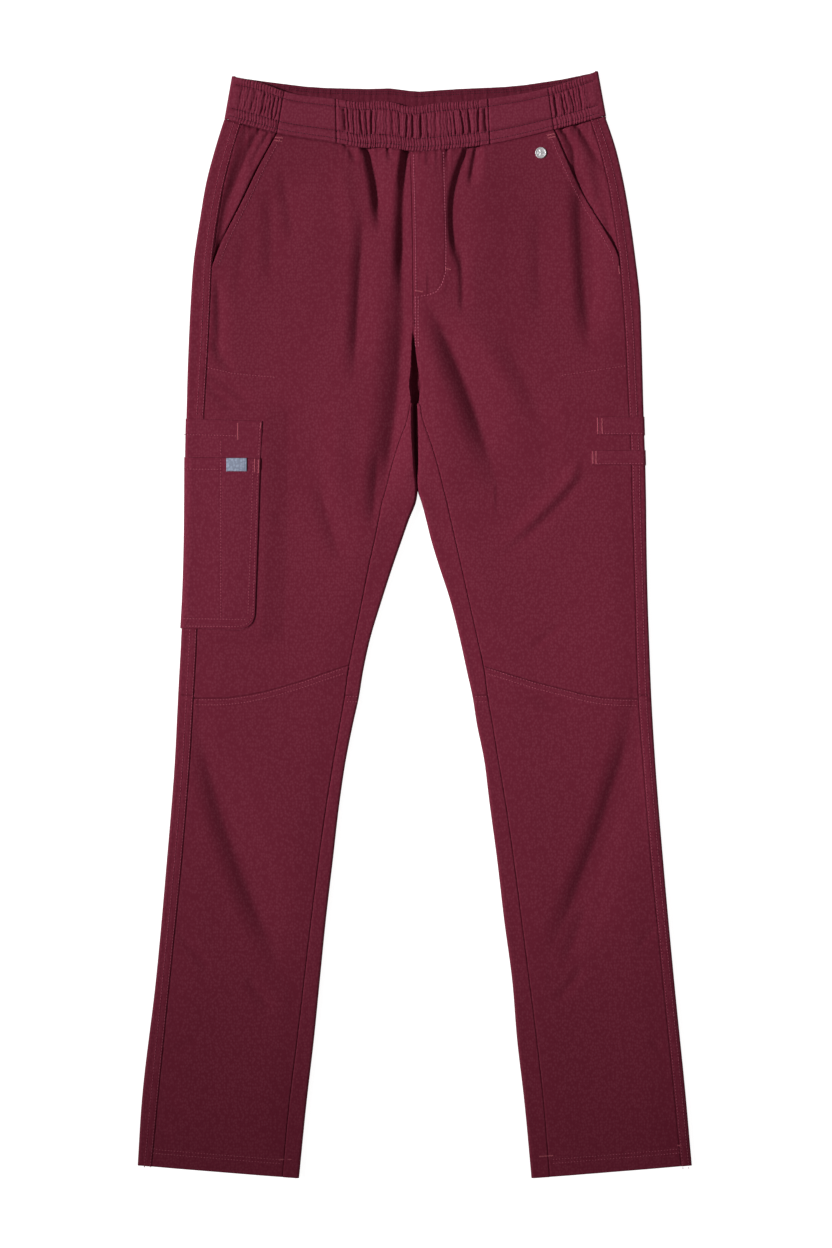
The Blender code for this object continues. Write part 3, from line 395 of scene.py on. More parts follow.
def hem_drop(x):
    """The hems tip down towards the inseams."""
    share = (abs(x) - HEM_INNER_X) / (HEM_OUTER_X - HEM_INNER_X)
    return HEM_TIP * (2 * share - 1)


def front_y(x, row):
    """Height of a front row where it crosses x: bent to the waistband and to the knee seam."""
    waist = ease((row - WAIST_ROW + WAIST_EASE) / WAIST_EASE)
    knee = ease(1 - abs(row - KNEE_ROW) / KNEE_EASE)
    hem = ease((HEM_ROW + KNEE_EASE - row) / KNEE_EASE)
    y = row + waist * (band_foot_front(x) - SEAM - WAIST_ROW) + knee * (knee_seam(x) - KNEE_ROW)
    return y + hem * hem_drop(x)


def back_y(x, row, top):
    """Height of a back row where it crosses x, on the side that faces up or on the underside."""
    waist = ease((row - WAIST_ROW + WAIST_EASE) / WAIST_EASE)
    band = band_foot_front(x) if top else band_foot_back(x)
    hem = ease((HEM_ROW + KNEE_EASE - row) / KNEE_EASE)
    return row + waist * (band - SEAM - WAIST_ROW) + hem * hem_drop(x)


def dip(gap, depth, reach):
    """Where cloth rolls down into a seam or a row of stitches."""
    return -depth * np.exp(-(gap / reach) ** 2)


def welt(gap, width, rise):
    """Seam allowance under the cloth, from the seam to its last row of stitches."""
    return rise * ease(gap / 1.2) * ease((width - gap) / 1.4 + 0.5)


def rolled(gap, depth, reach):
    """How an edge of cloth rolls down over its last bit."""
    return -depth * (1 - np.sqrt(1 - np.clip(1 - gap / reach, 0, 1) ** 2))


def stitched(gap, rows):
    """The dips of rows of stitches beside a seam: each row's distance, depth and reach."""
    return sum(dip(abs(gap - row), depth, reach) for row, depth, reach in rows)


def inseam_dip(gap, y, pitch):
    """The inseam's dip and its small puckers."""
    return dip(gap, 0.85, 0.6) + 0.1 * waves(y, pitch) * np.exp(-gap / 4)


# Distances from a seam at which rows and columns of vertices stand
NEAR = np.array([0, 0.2, 0.45, 0.8, 1.25, 1.8, 2.5, 3.4, 4.5, 5.8, 7.2, 8.8])


def levels(top, bottom, pitch, fine_top=True, fine_bottom=True):
    """Rows of a panel from top to bottom, closer together where it ends in a seam."""
    near = NEAR * min(1.0, 0.42 * (top - bottom) / NEAR[-1])
    start = top - near if fine_top else np.array([top])
    end = bottom + near[::-1] if fine_bottom else np.array([bottom])
    count = max(int((start[-1] - end[0]) / pitch), 2)
    return np.concatenate([start, np.linspace(start[-1], end[0], count + 1)[1:-1], end])


def crossings(start, end, count, lean=0.0):
    """Places across a panel in each row, closer together near both edges, and near its end by
    as much as lean says."""
    way, width = np.sign(end - start)[:, None], abs(end - start)[:, None]
    near = NEAR[None, :] * np.minimum(1.0, 0.42 * width / NEAR[-1])
    share = np.linspace(0, 1, count)[None, 1:-1]
    share = share * (1 + lean - lean * share)
    middle = near[:, -1:] + (width - 2 * near[:, -1:]) * share
    return start[:, None] + way * np.concatenate([near, middle, width - near[:, ::-1]], axis=1)


def node_group(name, sockets):
    """An empty shader node group with its named inputs and outputs."""
    group = bpy.data.node_groups.new(name, "ShaderNodeTree")
    for side, kind, names in sockets:
        for socket in names:
            group.interface.new_socket(socket, in_out=side, socket_type=kind)
    return group, group.nodes.new("NodeGroupInput"), group.nodes.new("NodeGroupOutput")


def twill_group():
    """Twill weave: fine slanting ribs, flecks of paler yarn and a slow change of dye."""
    group, given, made = node_group("twill_weave", (
        ("INPUT", "NodeSocketColor", ("Cloth", "Fleck")),
        ("INPUT", "NodeSocketFloat", ("Fleck amount", "Ribs per metre")),
        ("OUTPUT", "NodeSocketColor", ("Colour",)),
        ("OUTPUT", "NodeSocketFloat", ("Relief",))))
    nodes = group.nodes
    place = nodes.new("ShaderNodeTexCoord")
    slant = nodes.new("ShaderNodeMapping")
    slant.inputs["Rotation"].default_value = (0, 0, math.radians(-38))
    ribs = nodes.new("ShaderNodeTexWave")
    ribs.bands_direction, ribs.wave_profile = "X", "SIN"
    set_sockets(ribs, {"Distortion": 1.2, "Detail": 2.0, "Detail Scale": 1.5})
    yarn = nodes.new("ShaderNodeMapping")
    yarn.inputs["Scale"].default_value = (1.0, 0.8, 1.0)
    specks = nodes.new("ShaderNodeTexVoronoi")
    set_sockets(specks, {"Scale": 430, "Randomness": 0.75})
    speck_ramp = nodes.new("ShaderNodeMapRange")
    set_sockets(speck_ramp, {"From Min": 0.12, "From Max": 0.62, "To Min": 1.0, "To Max": 0.0})
    slow = nodes.new("ShaderNodeTexNoise")
    set_sockets(slow, {"Scale": 9, "Detail": 3.0})
    slow_ramp = nodes.new("ShaderNodeMapRange")
    set_sockets(slow_ramp, {"To Min": 0.94, "To Max": 1.06})
    amount = nodes.new("ShaderNodeMath")
    amount.operation = "MULTIPLY"
    flecked = nodes.new("ShaderNodeMix")
    flecked.data_type = "RGBA"
    dyed = nodes.new("ShaderNodeVectorMath")
    dyed.operation = "SCALE"
    relief = nodes.new("ShaderNodeMath")
    relief.operation = "MULTIPLY_ADD"
    relief.inputs[1].default_value = 0.5
    for out, into in (
            (place.outputs["Object"], slant.inputs["Vector"]), (slant.outputs[0], ribs.inputs["Vector"]),
            (place.outputs["Object"], yarn.inputs["Vector"]), (yarn.outputs[0], specks.inputs["Vector"]),
            (place.outputs["Object"], slow.inputs["Vector"]), (given.outputs[3], ribs.inputs["Scale"]),
            (specks.outputs[0], speck_ramp.inputs["Value"]), (slow.outputs[0], slow_ramp.inputs["Value"]),
            (speck_ramp.outputs[0], amount.inputs[0]), (given.outputs[2], amount.inputs[1]),
            (amount.outputs[0], flecked.inputs[0]), (given.outputs[0], flecked.inputs[6]),
            (given.outputs[1], flecked.inputs[7]), (flecked.outputs[2], dyed.inputs[0]),
            (slow_ramp.outputs[0], dyed.inputs["Scale"]), (dyed.outputs[0], made.inputs[0]),
            (speck_ramp.outputs[0], relief.inputs[0]), (ribs.outputs["Fac"], relief.inputs[2]),
            (relief.outputs[0], made.inputs[1])):
        group.links.new(out, into)
    return group


twill_weave = twill_group()


def woven(name, cloth, fleck, amount, ribs, roughness, specular, strength, depth):
    """A woven cloth: its two colours, share of flecks, ribs per metre, finish and relief."""
    material = bpy.data.materials.new(name)
    material.use_nodes = True
    nodes, links = material.node_tree.nodes, material.node_tree.links
    shader, weave, bump = nodes["Principled BSDF"], nodes.new("ShaderNodeGroup"), nodes.new("ShaderNodeBump")
    weave.node_tree = twill_weave
    set_sockets(weave, {"Cloth": (*cloth, 1), "Fleck": (*fleck, 1), "Fleck amount": amount,
                        "Ribs per metre": ribs})
    set_sockets(bump, {"Strength": strength, "Distance": depth})
    set_sockets(shader, {"Roughness": roughness, "Specular IOR Level": specular})
    links.new(weave.outputs["Colour"], shader.inputs["Base Color"])
    links.new(weave.outputs["Relief"], bump.inputs["Height"])
    links.new(bump.outputs["Normal"], shader.inputs["Normal"])
    return material


def twill(name, cloth, fleck):
    """Matt burgundy twill."""
    return woven(name, cloth, fleck, amount=0.5, ribs=300.0, roughness=0.85, specular=0.06,
                 strength=0.35, depth=0.00012)


def two_faces(x, y, z, wall):
    """Points of a cloth's outer face, and of its inner face that much lower."""
    return np.stack([x, y, z], axis=-1), np.stack([x, y, z - wall], axis=-1)


def grids(columns):
    """Outer and inner grid of points, from pairs of columns."""
    return [np.stack([pair[k] for pair in columns], axis=1) for k in (0, 1)]


def cloth_body(name, outer, inner, material, live=None, shaded_reverse=None):
    """Cloth between its outer and its inner face, two grids of points in millimetres. It has only the cells
    that are live, and its inner face may have a material of its own: on the back band this is a darker copy
    of the twill, painted shade."""
    rows, columns = outer.shape[:2]
    count = rows * columns
    index = np.arange(count).reshape(rows, columns)
    cells = np.stack([index[:-1, :-1], index[:-1, 1:], index[1:, 1:], index[1:, :-1]], axis=2)
    cells = cells.reshape(-1, 4) if live is None else cells[live]
    edges = np.concatenate([cells[:, [k, (k + 1) % 4]] for k in range(4)])
    shared = np.isin(edges[:, 0] * count + edges[:, 1], edges[:, 1] * count + edges[:, 0])
    rim = edges[~shared]
    walls = np.column_stack([rim[:, 1], rim[:, 0], rim[:, 0] + count, rim[:, 1] + count])
    faces = np.concatenate([cells, cells[:, ::-1] + count, walls])
    used, faces = np.unique(faces, return_inverse=True)
    faces = faces.reshape(-1, 4)
    points = np.concatenate([outer.reshape(-1, 3), inner.reshape(-1, 3)])[used] * MM
    a, b, c = (points[faces[:, k]] for k in (0, 1, 2))
    inside_out = np.einsum("ij,ij->", a, np.cross(b, c)) < 0
    if inside_out:
        faces = faces[:, ::-1]
    mesh = bpy.data.meshes.new(name)
    mesh.from_pydata(points.tolist(), [], faces.tolist())
    mesh.shade_smooth()
    mesh.set_sharp_from_angle(angle=math.radians(62))
    mesh.materials.append(material)
    if shaded_reverse is not None:
        mesh.materials.append(shaded_reverse)
        sides_of = np.zeros(len(faces), np.int32)
        sides_of[len(cells):2 * len(cells)] = 1
        mesh.polygons.foreach_set("material_index", sides_of)
    return put(name, mesh)


def lay_down(piece, node, slot, cut, *under):
    """A finished piece of cloth, put under the root in place of the node that it stands for, which is
    hidden. Its colour slot, the width, length and area of its cut in metres, and what it lies on are not
    used."""
    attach(piece, "root")
    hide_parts(node)


# Where columns stand: on the strip beside the outseam, round a folded edge, beside the inseam
STRIP_SHARES = np.concatenate([NEAR / 18.5, [0.56, 0.66, 0.76, 0.88]])
TURN = np.radians([90, 78, 64, 48, 30, 10, -10, -30, -48, -64, -78, -90])
INSEAM_SHARES = np.concatenate([[0.2, 0.4, 0.6], 1 - NEAR[5::-1] / 16])


def edge_x(leg, row, line):
    """Where a line of the leg crosses a row."""
    return line(back_y(line(row), row, True))


def turned(leg, row, turn, inner, lift, wall):
    """Outer and inner point of a leg's folded edge: a quarter turn is its top."""
    edge = edge_x(leg, row, leg.inner if inner else leg.outer)
    reach = leg.turn_reach(row, inner)
    outward = -leg.sign if inner else leg.sign
    centre = edge - outward * reach
    share = 0.5 - turn / math.pi
    y = back_y(centre, row, True) * (1 - share) + back_y(centre, row, False) * share
    ground = leg.ground(centre, y)
    whole = height(leg, centre, y) - ground
    steepest = 1.0 if leg is RIGHT else 0.55
    steep = np.minimum(1.5 * at_fork(row), 1.0) * steepest if inner else 0.0
    low = whole * (0.5 - 0.34 * steep)
    rise, up = low, math.sin(turn)
    if turn > 0:
        rise = whole - low
        up = up * (1 - steep) + steep * (1 - ease((math.cos(turn) - 0.3) / 0.4))
    faces = []
    for out in (lift, lift - wall):
        x = centre + outward * (reach + out) * math.cos(turn)
        faces.append(np.stack([x, y, ground + low + (rise + out) * up], axis=1))
    return faces


# Seam allowance's width, and its rows of stitches: distance from the seam, depth and reach
OUTSEAM_WELT, OUTSEAM_ROWS = 8.2, [(1.9, 0.25, 0.5), (7.0, 0.3, 0.6)]


def strip_z(leg, x, y):
    """The back panel where it faces up: a welt with two rows of stitches beside the outseam."""
    outer = abs(leg.outseam(y) - x)
    inner = np.where(y < CROTCH_ROW, abs(leg.inseam(y) - x), FAR)
    at_outseam = dip(outer, 0.4, 0.55) + welt(outer, OUTSEAM_WELT, 0.45) + stitched(outer, OUTSEAM_ROWS)
    at_outseam = at_outseam + 0.16 * waves(y, 6.5) * np.exp(-((outer - 4.5) / 4) ** 2)
    on_outside = abs(x) > abs(leg.outseam(y))
    return height(leg, x, y) + np.where(on_outside, at_outseam, inseam_dip(inner, y, 8.0))


def knee_nudge(rows, upper):
    """Half the knee seam's gap, at that seam's row alone: the two panels press together."""
    return (SEAM / 2 if upper else -SEAM / 2) * np.isclose(rows, KNEE_ROW)


KNEE_WELT_BACK, KNEE_ROWS_BACK = 7.6, [(1.4, 0.2, 0.5), (6.6, 0.2, 0.5)]
BESIDE_CENTRE = 2.0      # the last column before the centre seam


def back_panel(name, leg, rows, upper, material):
    """Strip beside the outseam, folded edge, underside, folded inner edge and inseam strip."""
    sign = leg.sign
    below = rows <= CROTCH_ROW
    seam = edge_x(leg, rows, leg.outseam) + sign * SEAM / 2
    fold_x = edge_x(leg, rows, leg.outer) - sign * TURN_REACH
    inner_x = edge_x(leg, rows, leg.inner) + sign * leg.turn_reach(rows, True)
    inseam = edge_x(leg, rows, leg.inseam) - sign * SEAM / 2
    stop = np.where(below, inner_x, centre_line(rows) + sign * BESIDE_CENTRE)
    at_ends = dip(abs(rows - KNEE_ROW), 1.0, 0.8)
    if upper:
        at_ends = at_ends + dip(abs(WAIST_ROW - rows), 1.2, 1.2)
    else:
        at_ends = at_ends + welt(KNEE_ROW - rows, KNEE_WELT_BACK, 0.4)
        at_ends = at_ends + stitched(KNEE_ROW - rows, KNEE_ROWS_BACK)

    def face_up(x):
        y = back_y(x, rows, True)
        return two_faces(x, y, strip_z(leg, x, y) + at_ends, CLOTH)

    def face_down(x):
        y = back_y(x, rows, False)
        z = leg.ground(x, y) - 0.5 * at_ends * (y < WAIST_ROW - 3)
        swell = UNDER_SWELL * (1 + waves(y + 0.4 * x, UNDER_PITCH))
        z = z + swell * ease((abs(leg.outer(rows)) - abs(x) - 6) / 30)
        z = z - np.where(below, 0, dip(abs(x - centre_line(y)), 0.8, 1.3))
        return two_faces(x, y, z, -CLOTH)

    wide = [face_up(seam + (fold_x - seam) * share) for share in STRIP_SHARES]
    wide += [turned(leg, rows, turn, False, 0, CLOTH) for turn in TURN]
    wide += [face_down(fold_x + (stop - fold_x) * share) for share in np.linspace(0, 1, 26)[1:-1]]
    # Below the crotch the panel turns up round the inner edge; above it ends in the centre seam
    narrow = [turned(leg, rows, turn, True, 0, CLOTH) for turn in TURN[::-1]]
    narrow += [face_up(inner_x + (inseam - inner_x) * share) for share in INSEAM_SHARES]
    centre = [face_down(stop), face_down(centre_line(rows) + sign * SEAM / 2)]
    faces = []
    for wide_part, narrow_part, centre_part in zip(grids(wide), grids(narrow), grids(centre)):
        narrow_part[~below, :2] = centre_part[~below]
        narrow_part[~below, 2:] = centre_part[~below, 1:2]
        joined = np.concatenate([wide_part, narrow_part], axis=1)
        joined[:, :, 1] += knee_nudge(rows, upper)[:, None]
        faces.append(joined)
    live = np.ones((len(rows) - 1, len(wide) + len(narrow) - 1), bool)
    live[:, len(wide) + 1:] &= below[:-1, None]
    return cloth_body(name, *faces, material, live)


UPPER_ROWS = np.concatenate([levels(WAIST_ROW, CROTCH_ROW, 3.0, True, False),
                             levels(CROTCH_ROW, KNEE_ROW, 3.0, False, True)[1:]])
LOWER_ROWS = levels(KNEE_ROW, HEM_ROW, 3.2)
back_twill = twill("back_twill", (0.100, 0.0094, 0.0220), (0.149, 0.0264, 0.0452))
for name, leg, rows, cut, under in (
        ("back_upper_right", RIGHT, UPPER_ROWS, (0.292, 0.580, 0.140), ("cargo_pocket_inner",)),
        ("back_lower_right", RIGHT, LOWER_ROWS, (0.220, 0.487, 0.097), ()),
        ("back_upper_left", LEFT, UPPER_ROWS, (0.280, 0.582, 0.139),
         ("utility_loop_upper", "utility_loop_lower")),
        ("back_lower_left", LEFT, LOWER_ROWS, (0.217, 0.487, 0.096), ())):
    piece = back_panel(f"cloth_{name}", leg, rows, rows is UPPER_ROWS, back_twill)
    lay_down(piece, name, "back_cloth", cut, *under)

# ---------------------------------------------------------------------------------------------
# Front panels. Two panels of the same twill a leg: the front thigh with the slanted pocket mouth,
# and the shin, joined by the curved knee seam. The fronts meet in the centre seam above the fork.
FLY_LINE = [(28.4, 472), (29.5, 431), (31, 377), (30.5, 352), (27, 340), (21, 332), (12, 329),
            (4.5, 328)]
POCKET_FACING, FACING_ROW = 7.0, 6.0
GAPE, GAPE_REACH, GAPE_Y, GAPE_LENGTH = 0.9, 16.0, 372.0, 26.0   # the mouth's edge stands off here
GATHER_HALF, GATHER_DEPTH = 84.0, 13.0     # gathers: half width under the elastic, and how far down
WAIST_DIP = (1.6, 1.4)
CENTRE_SEAM_END, CENTRE_WELT = 285.0, 3.2
KNEE_WELT, KNEE_ROWS = 7.4, [(1.5, 0.2, 0.5), (6.6, 0.2, 0.5)]
HEM_STITCHES = [(17.8, 0.45, 1.0), (13.6, 0.2, 0.6)]


def front_z(leg, x, y, waist_gap, knee_gap, upper):
    """Height of a front panel with its seams, its pocket edge and its rows of stitches."""
    outer = abs(x - leg.front_edge(y))
    facing = rolled(outer, 0.5, 0.5) + welt(outer, POCKET_FACING, 0.5)
    facing = facing + dip(abs(outer - FACING_ROW), 0.35, 0.6)
    gape = GAPE * np.exp(-(outer / GAPE_REACH) ** 2) * np.exp(-((y - GAPE_Y) / GAPE_LENGTH) ** 2)
    z = height(leg, x, y) + np.where(y > POCKET_MOUTH_END, facing + gape, dip(outer, 0.45, 0.6))
    z = z + 0.12 * waves(y, 8.3, leg.sign) * np.exp(-outer / 4)
    inseam = abs(x - leg.inseam(y))
    if upper:
        z = z + inseam_dip(np.where(y < CROTCH_ROW, inseam, FAR), y, 9.0)
        centre = abs(x - centre_line(y))
        seam = dip(centre, 0.9, 0.65) + 0.12 * waves(y, 7.0) * np.exp(-centre / 4)
        if leg is LEFT:
            seam = seam + welt(centre, CENTRE_WELT, 0.25) + dip(abs(centre - 2.0), 0.2, 0.4)
        z = z + seam * np.clip((y - CENTRE_SEAM_END) / 12, 0, 1)
        gathered = ease((GATHER_HALF - abs(x + 3)) / 10) * np.exp(-(waist_gap / GATHER_DEPTH) ** 1.2)
        z = z + gathered * (0.9 * waves(x, 8.5) + 0.5 * waves(x, 4.2, 1.0) * np.exp(-waist_gap / 4))
        z = z + dip(waist_gap, *WAIST_DIP)
        if leg is LEFT:
            gap = beside(x, y, np.array(FLY_LINE, float))[0]
            z = z + dip(gap, 0.35, 0.8) + 0.3 * (x < 30) * (y > 330) * ease(gap / 1.5)
    else:
        z = z + inseam_dip(inseam, y, 9.0)
        z = z + welt(knee_gap, KNEE_WELT, 0.4) + stitched(knee_gap, KNEE_ROWS)
        hem_gap = y - hem_drop(x) - HEM_ROW
        z = z + stitched(hem_gap, HEM_STITCHES) + rolled(hem_gap, 0.9, 1.2)
        z = z + 0.22 * waves(x, 9.0, 2.0) * np.exp(-((hem_gap - 15) / 7) ** 2)
    return np.maximum(z + dip(knee_gap, 0.9, 0.6), leg.ground(x, y) + SHALLOWEST)


def front_panel(name, leg, rows, upper, count, lean, material):
    """A front panel, which is level with its neighbours at every seam."""
    edge_y = front_y(leg.front_edge(rows), rows)
    inner_y = front_y(leg.front_inner(rows), rows)
    start = leg.front_edge(edge_y) - leg.sign * SEAM / 2
    end = leg.front_inner(inner_y) + leg.sign * SEAM / 2
    x = crossings(start, end, count, lean)
    main = x.shape[1]
    if upper:
        steps = np.array([3.9, 3.3, 2.7, 2.2, 1.7, 1.2, 0.8, 0.45, 0.2, SEAM / 2])
        to_centre = centre_line(rows)[:, None] + leg.sign * steps[None, :]
        x = np.concatenate([x, to_centre], axis=1)
    y = front_y(x, rows[:, None])
    knee_gap = abs(rows - KNEE_ROW)[:, None] * np.ones_like(x)
    waist_gap = (WAIST_ROW - rows)[:, None] * np.ones_like(x)
    z = front_z(leg, x, y, waist_gap, knee_gap, upper)
    y = y + knee_nudge(rows, upper)[:, None]
    live = np.ones((len(rows) - 1, x.shape[1] - 1), bool)
    if upper:
        live[:, main - 1:] = (rows[1:] >= CROTCH_ROW)[:, None]
    return cloth_body(name, *two_faces(x, y, z, CLOTH), material, live)


front_twill = twill("front_twill", (0.098, 0.0092, 0.0215), (0.147, 0.0259, 0.0446))
FRONT_UPPER_ROWS = np.concatenate([levels(WAIST_ROW, CROTCH_ROW, 2.4, True, False),
                                   levels(CROTCH_ROW, KNEE_ROW, 2.4, False, True)[1:]])
FRONT_LOWER_ROWS = levels(KNEE_ROW, HEM_ROW, 2.8)
for name, leg, rows, count, lean, cut in (
        ("front_upper_right", RIGHT, FRONT_UPPER_ROWS, 98, 0.5, (0.215, 0.582, 0.101)),
        ("front_lower_right", RIGHT, FRONT_LOWER_ROWS, 54, 0.0, (0.161, 0.517, 0.067)),
        ("front_upper_left", LEFT, FRONT_UPPER_ROWS, 98, 0.5, (0.218, 0.587, 0.104)),
        ("front_lower_left", LEFT, FRONT_LOWER_ROWS, 54, 0.0, (0.160, 0.516, 0.067))):
    piece = front_panel(f"cloth_{name}", leg, rows, rows is FRONT_UPPER_ROWS, count, lean, front_twill)
    lay_down(piece, name, "front_cloth", cut, name.replace("front", "back"))

# ---------------------------------------------------------------------------------------------
# Pocket side panels. Each pocket has its own side panel of twill, sewn flush into the outseam. It
# drops under the slanted mouth and runs on below the front panel.
MOUTH_LAP = 12.0      # how far the side panel runs under the mouth
SIDE_CLOTH = 0.7
SIDE_SINK = 2.2       # how far it lies under the front's edge
SIDE_TAIL = 14.0      # how far it runs on below the mouth
SIDE_FOLDS = [
    (-156, 493, -174, 462, -190, 410, 9.0, 12.0, -2.6, 0.9, 0.0),
    (-146, 491, -156, 476, -167, 452, 6.0, 7.0, -1.8, 0.9, 0.0),
    (-186, 440, -193, 400, -199, 366, 8.0, 10.0, -1.6, 0.0, 0.3),
    (-160, 468, -171, 436, -184, 396, 5.0, 5.0, 1.0, 0.0, 0.0),
    (147, 495, 165, 474, 157, 449, 8.0, 8.0, -2.8, 1.0, 0.5),
    (162, 499, 175, 481, 189, 455, 8.0, 9.0, -2.8, 1.0, 0.5),
    (186, 431, 179, 419, 172, 407, 6.0, 6.0, -1.2, 0.0, 0.0),
    (190, 414, 196, 392, 201, 374, 8.0, 8.0, -1.8, 0.0, 0.3),
    (166, 478, 177, 436, 187, 398, 5.0, 5.0, 1.0, 0.0, 0.0),
]


def side_z(leg, x, y, sunk, waist_gap):
    """Height of the pocket's side panel: level with the outseam, then under the front."""
    z = height(leg, x, y) + creases(x, y, SIDE_FOLDS)
    z = z + dip(abs(x - leg.outseam(y)), 0.45, 0.6)
    sink = sunk * SIDE_SINK - dip(abs(x - leg.front_edge(y)), SIDE_SINK, 1.4)
    z = z - sink * (1.0 if leg is RIGHT else 0.5)
    z = z + np.exp(-(waist_gap / 14) ** 1.3) * 0.7 * waves(x, 7.0) + dip(waist_gap, *WAIST_DIP)
    return np.maximum(z, leg.ground(x, y) + SHALLOWEST)


def pocket_side(name, leg, material):
    """The side panel from the waistband to a little below the mouth, kept under the front."""
    rows = levels(WAIST_ROW, POCKET_MOUTH_END - SIDE_TAIL, 2.4)
    seam = leg.outseam(front_y(leg.outseam(rows), rows)) - leg.sign * SEAM / 2
    mouth = leg.front_edge(front_y(leg.front_edge(rows), rows))
    mouth = np.where(rows < POCKET_MOUTH_END + 4, seam - leg.sign * 1.5, mouth)
    x = crossings(seam, mouth - leg.sign * MOUTH_LAP, 40)
    y = front_y(x, rows[:, None])
    waist_gap = (WAIST_ROW - rows)[:, None] * np.ones_like(x)
    ended = ease((POCKET_MOUTH_END + 8 - rows) / 8)[:, None]
    slope = np.minimum(9.0, abs(mouth - seam) * 0.8 + 0.5)[:, None]
    sunk = np.maximum(ease(abs(x - seam[:, None]) / slope), ended)
    z = side_z(leg, x, y, sunk, waist_gap)
    front = front_z(leg, x, y, waist_gap, np.full(x.shape, FAR), True)
    under = leg.sign * (x - mouth[:, None]) < 0.3
    z = np.where(under | (ended > 0.5), np.minimum(z, front - CLOTH - 0.25), z)
    return cloth_body(name, *two_faces(x, y, z, SIDE_CLOTH), material)


for leg, cut in ((RIGHT, (0.054, 0.163, 0.0054)), (LEFT, (0.056, 0.167, 0.0056))):
    piece = pocket_side(f"cloth_pocket_side_{leg.side}", leg, front_twill)
    lay_down(piece, f"pocket_side_{leg.side}", "front_cloth", cut, f"back_upper_{leg.side}")

# ---------------------------------------------------------------------------------------------
# Waistband. Two layers of twill over elastic, folded at the top edge and stitched along two lines.
# The back band wraps round both sides; the front has a gathered middle between two plain pieces.
BAND_HEIGHT, BAND_WALL = 6.8, 1.6
# Its top edge, at the front and at the back, place for place with the bottom edge
BAND_TOP_FRONT = [(-183, 548), (-152, 541), (-130.4, 533), (-79, 525.4), (-55, 522.2), (-31, 523),
                  (-20, 521.4), (-9, 518.2), (1, 517.8), (13, 519.8), (29, 521.6), (50, 523),
                  (73, 525.6), (133, 536.3), (161, 545), (183, 553)]
BAND_TOP_BACK = [(-183, 548), (-147, 543), (-110, 538.4), (-89, 537), (-47.3, 536), (-25, 536.6),
                 (-4, 534), (5, 533.4), (19, 534.4), (43.6, 536), (89, 538), (110.3, 540),
                 (147, 545.5), (183, 553)]
BAND_FRONT = [top + foot for top, foot in zip(BAND_TOP_FRONT, BAND_FOOT_FRONT)]
BAND_BACK = [top + foot for top, foot in zip(BAND_TOP_BACK, BAND_FOOT_BACK)]
SIDE_PIECES, ELASTIC = (-130.4, 133.0), (-79.0, 73.0)
UPPER_STITCH, LOWER_STITCH = 0.17, 0.72       # share of the band's depth at its lines of stitches
BAND_DEPTH, FOOT_STITCH, VALLEY_WIDTH = 43.0, 4.2, 0.68
EDGE_ROUND = 1.6                              # the band's top and bottom edges roll down over it
INSIDE_ROWS = [(3.0, 0.4, 0.6), (5.2, 0.3, 0.6)]
INSIDE_HEIGHT, INSIDE_ROUND = 2.2, 1.2
BAND_END = BAND_TOP_FRONT[-1][0]              # the sides, as far from the middle on both sides
# Valleys of the gathers: place along the top edge, half width, depth, lean towards the foot
VALLEYS = [
    (-171, 2.0, 0.7, 0.0), (-164, 1.2, 0.7, -0.5), (-157.5, 1.3, 1.0, -0.5), (-154.6, 1.0, 0.8, 0.0),
    (-147.5, 1.2, 1.2, -0.8), (-144.3, 1.0, 1.4, -0.5), (-141.4, 0.9, 1.2, 0.0), (-137.7, 1.1, 1.8, 0.3),
    (-134, 0.9, 1.4, 0.0), (-71, 1.3, 2.0, 1.0), (-67, 1.1, 1.6, 0.5), (-62, 1.0, 1.3, 0.3),
    (-54.6, 1.4, 2.2, 0.8), (-49, 1.0, 1.5, 0.3), (-43.3, 1.5, 2.4, -0.8), (-38, 1.0, 0.8, -0.8),
    (-23, 1.2, 1.3, -0.8), (-16, 1.0, 1.1, -0.5), (-8, 1.3, 2.1, -0.8), (-2, 1.4, 2.3, 0.6),
    (6, 1.3, 2.2, 1.3), (12.6, 1.1, 1.1, 1.6), (21, 1.0, 0.7, 0.0), (32, 1.0, 1.2, 0.4),
    (35, 1.0, 1.0, 0.8), (39, 1.1, 1.4, 1.0), (46.7, 1.3, 2.2, 2.0), (53.8, 1.5, 2.4, 2.2),
    (63, 1.3, 2.1, -0.6), (69.5, 1.4, 2.2, 0.6), (137.6, 1.4, 2.0, 0.8), (144.9, 1.2, 1.7, 1.0),
    (148, 1.0, 1.3, 1.0), (153.7, 1.3, 1.6, 1.4), (156.6, 1.0, 1.1, 1.2), (162.5, 1.3, 1.4, 1.0),
    (170, 1.6, 0.8, 0.6),
]
band_top, band_foot_x = smooth_line(BAND_FRONT, 1), smooth_line(BAND_FRONT, 2)
band_foot_y = smooth_line(BAND_FRONT, 3)
back_columns = np.array(BAND_BACK).T


def band_place(layer, place, share):
    """Where a place along the band and a share of its depth lie, seen from above."""
    if layer == "back":
        top_y, foot_x, foot_y = (np.interp(place, back_columns[0], back_columns[k]) for k in (1, 2, 3))
    else:
        top_y, foot_x, foot_y = band_top(place), band_foot_x(place), band_foot_y(place)
    return place + (foot_x - place) * share, top_y + (foot_y - top_y) * share


def puckers(s, pitch, seed=0.0):
    """Rounded ridges with sharp valleys between them, as gathered cloth has, from -1 to 1."""
    wander = 0.3 * pitch * waves(s, 3.7 * pitch, seed)
    return 2 * abs(np.sin(math.pi * (s + wander) / pitch)) - 1


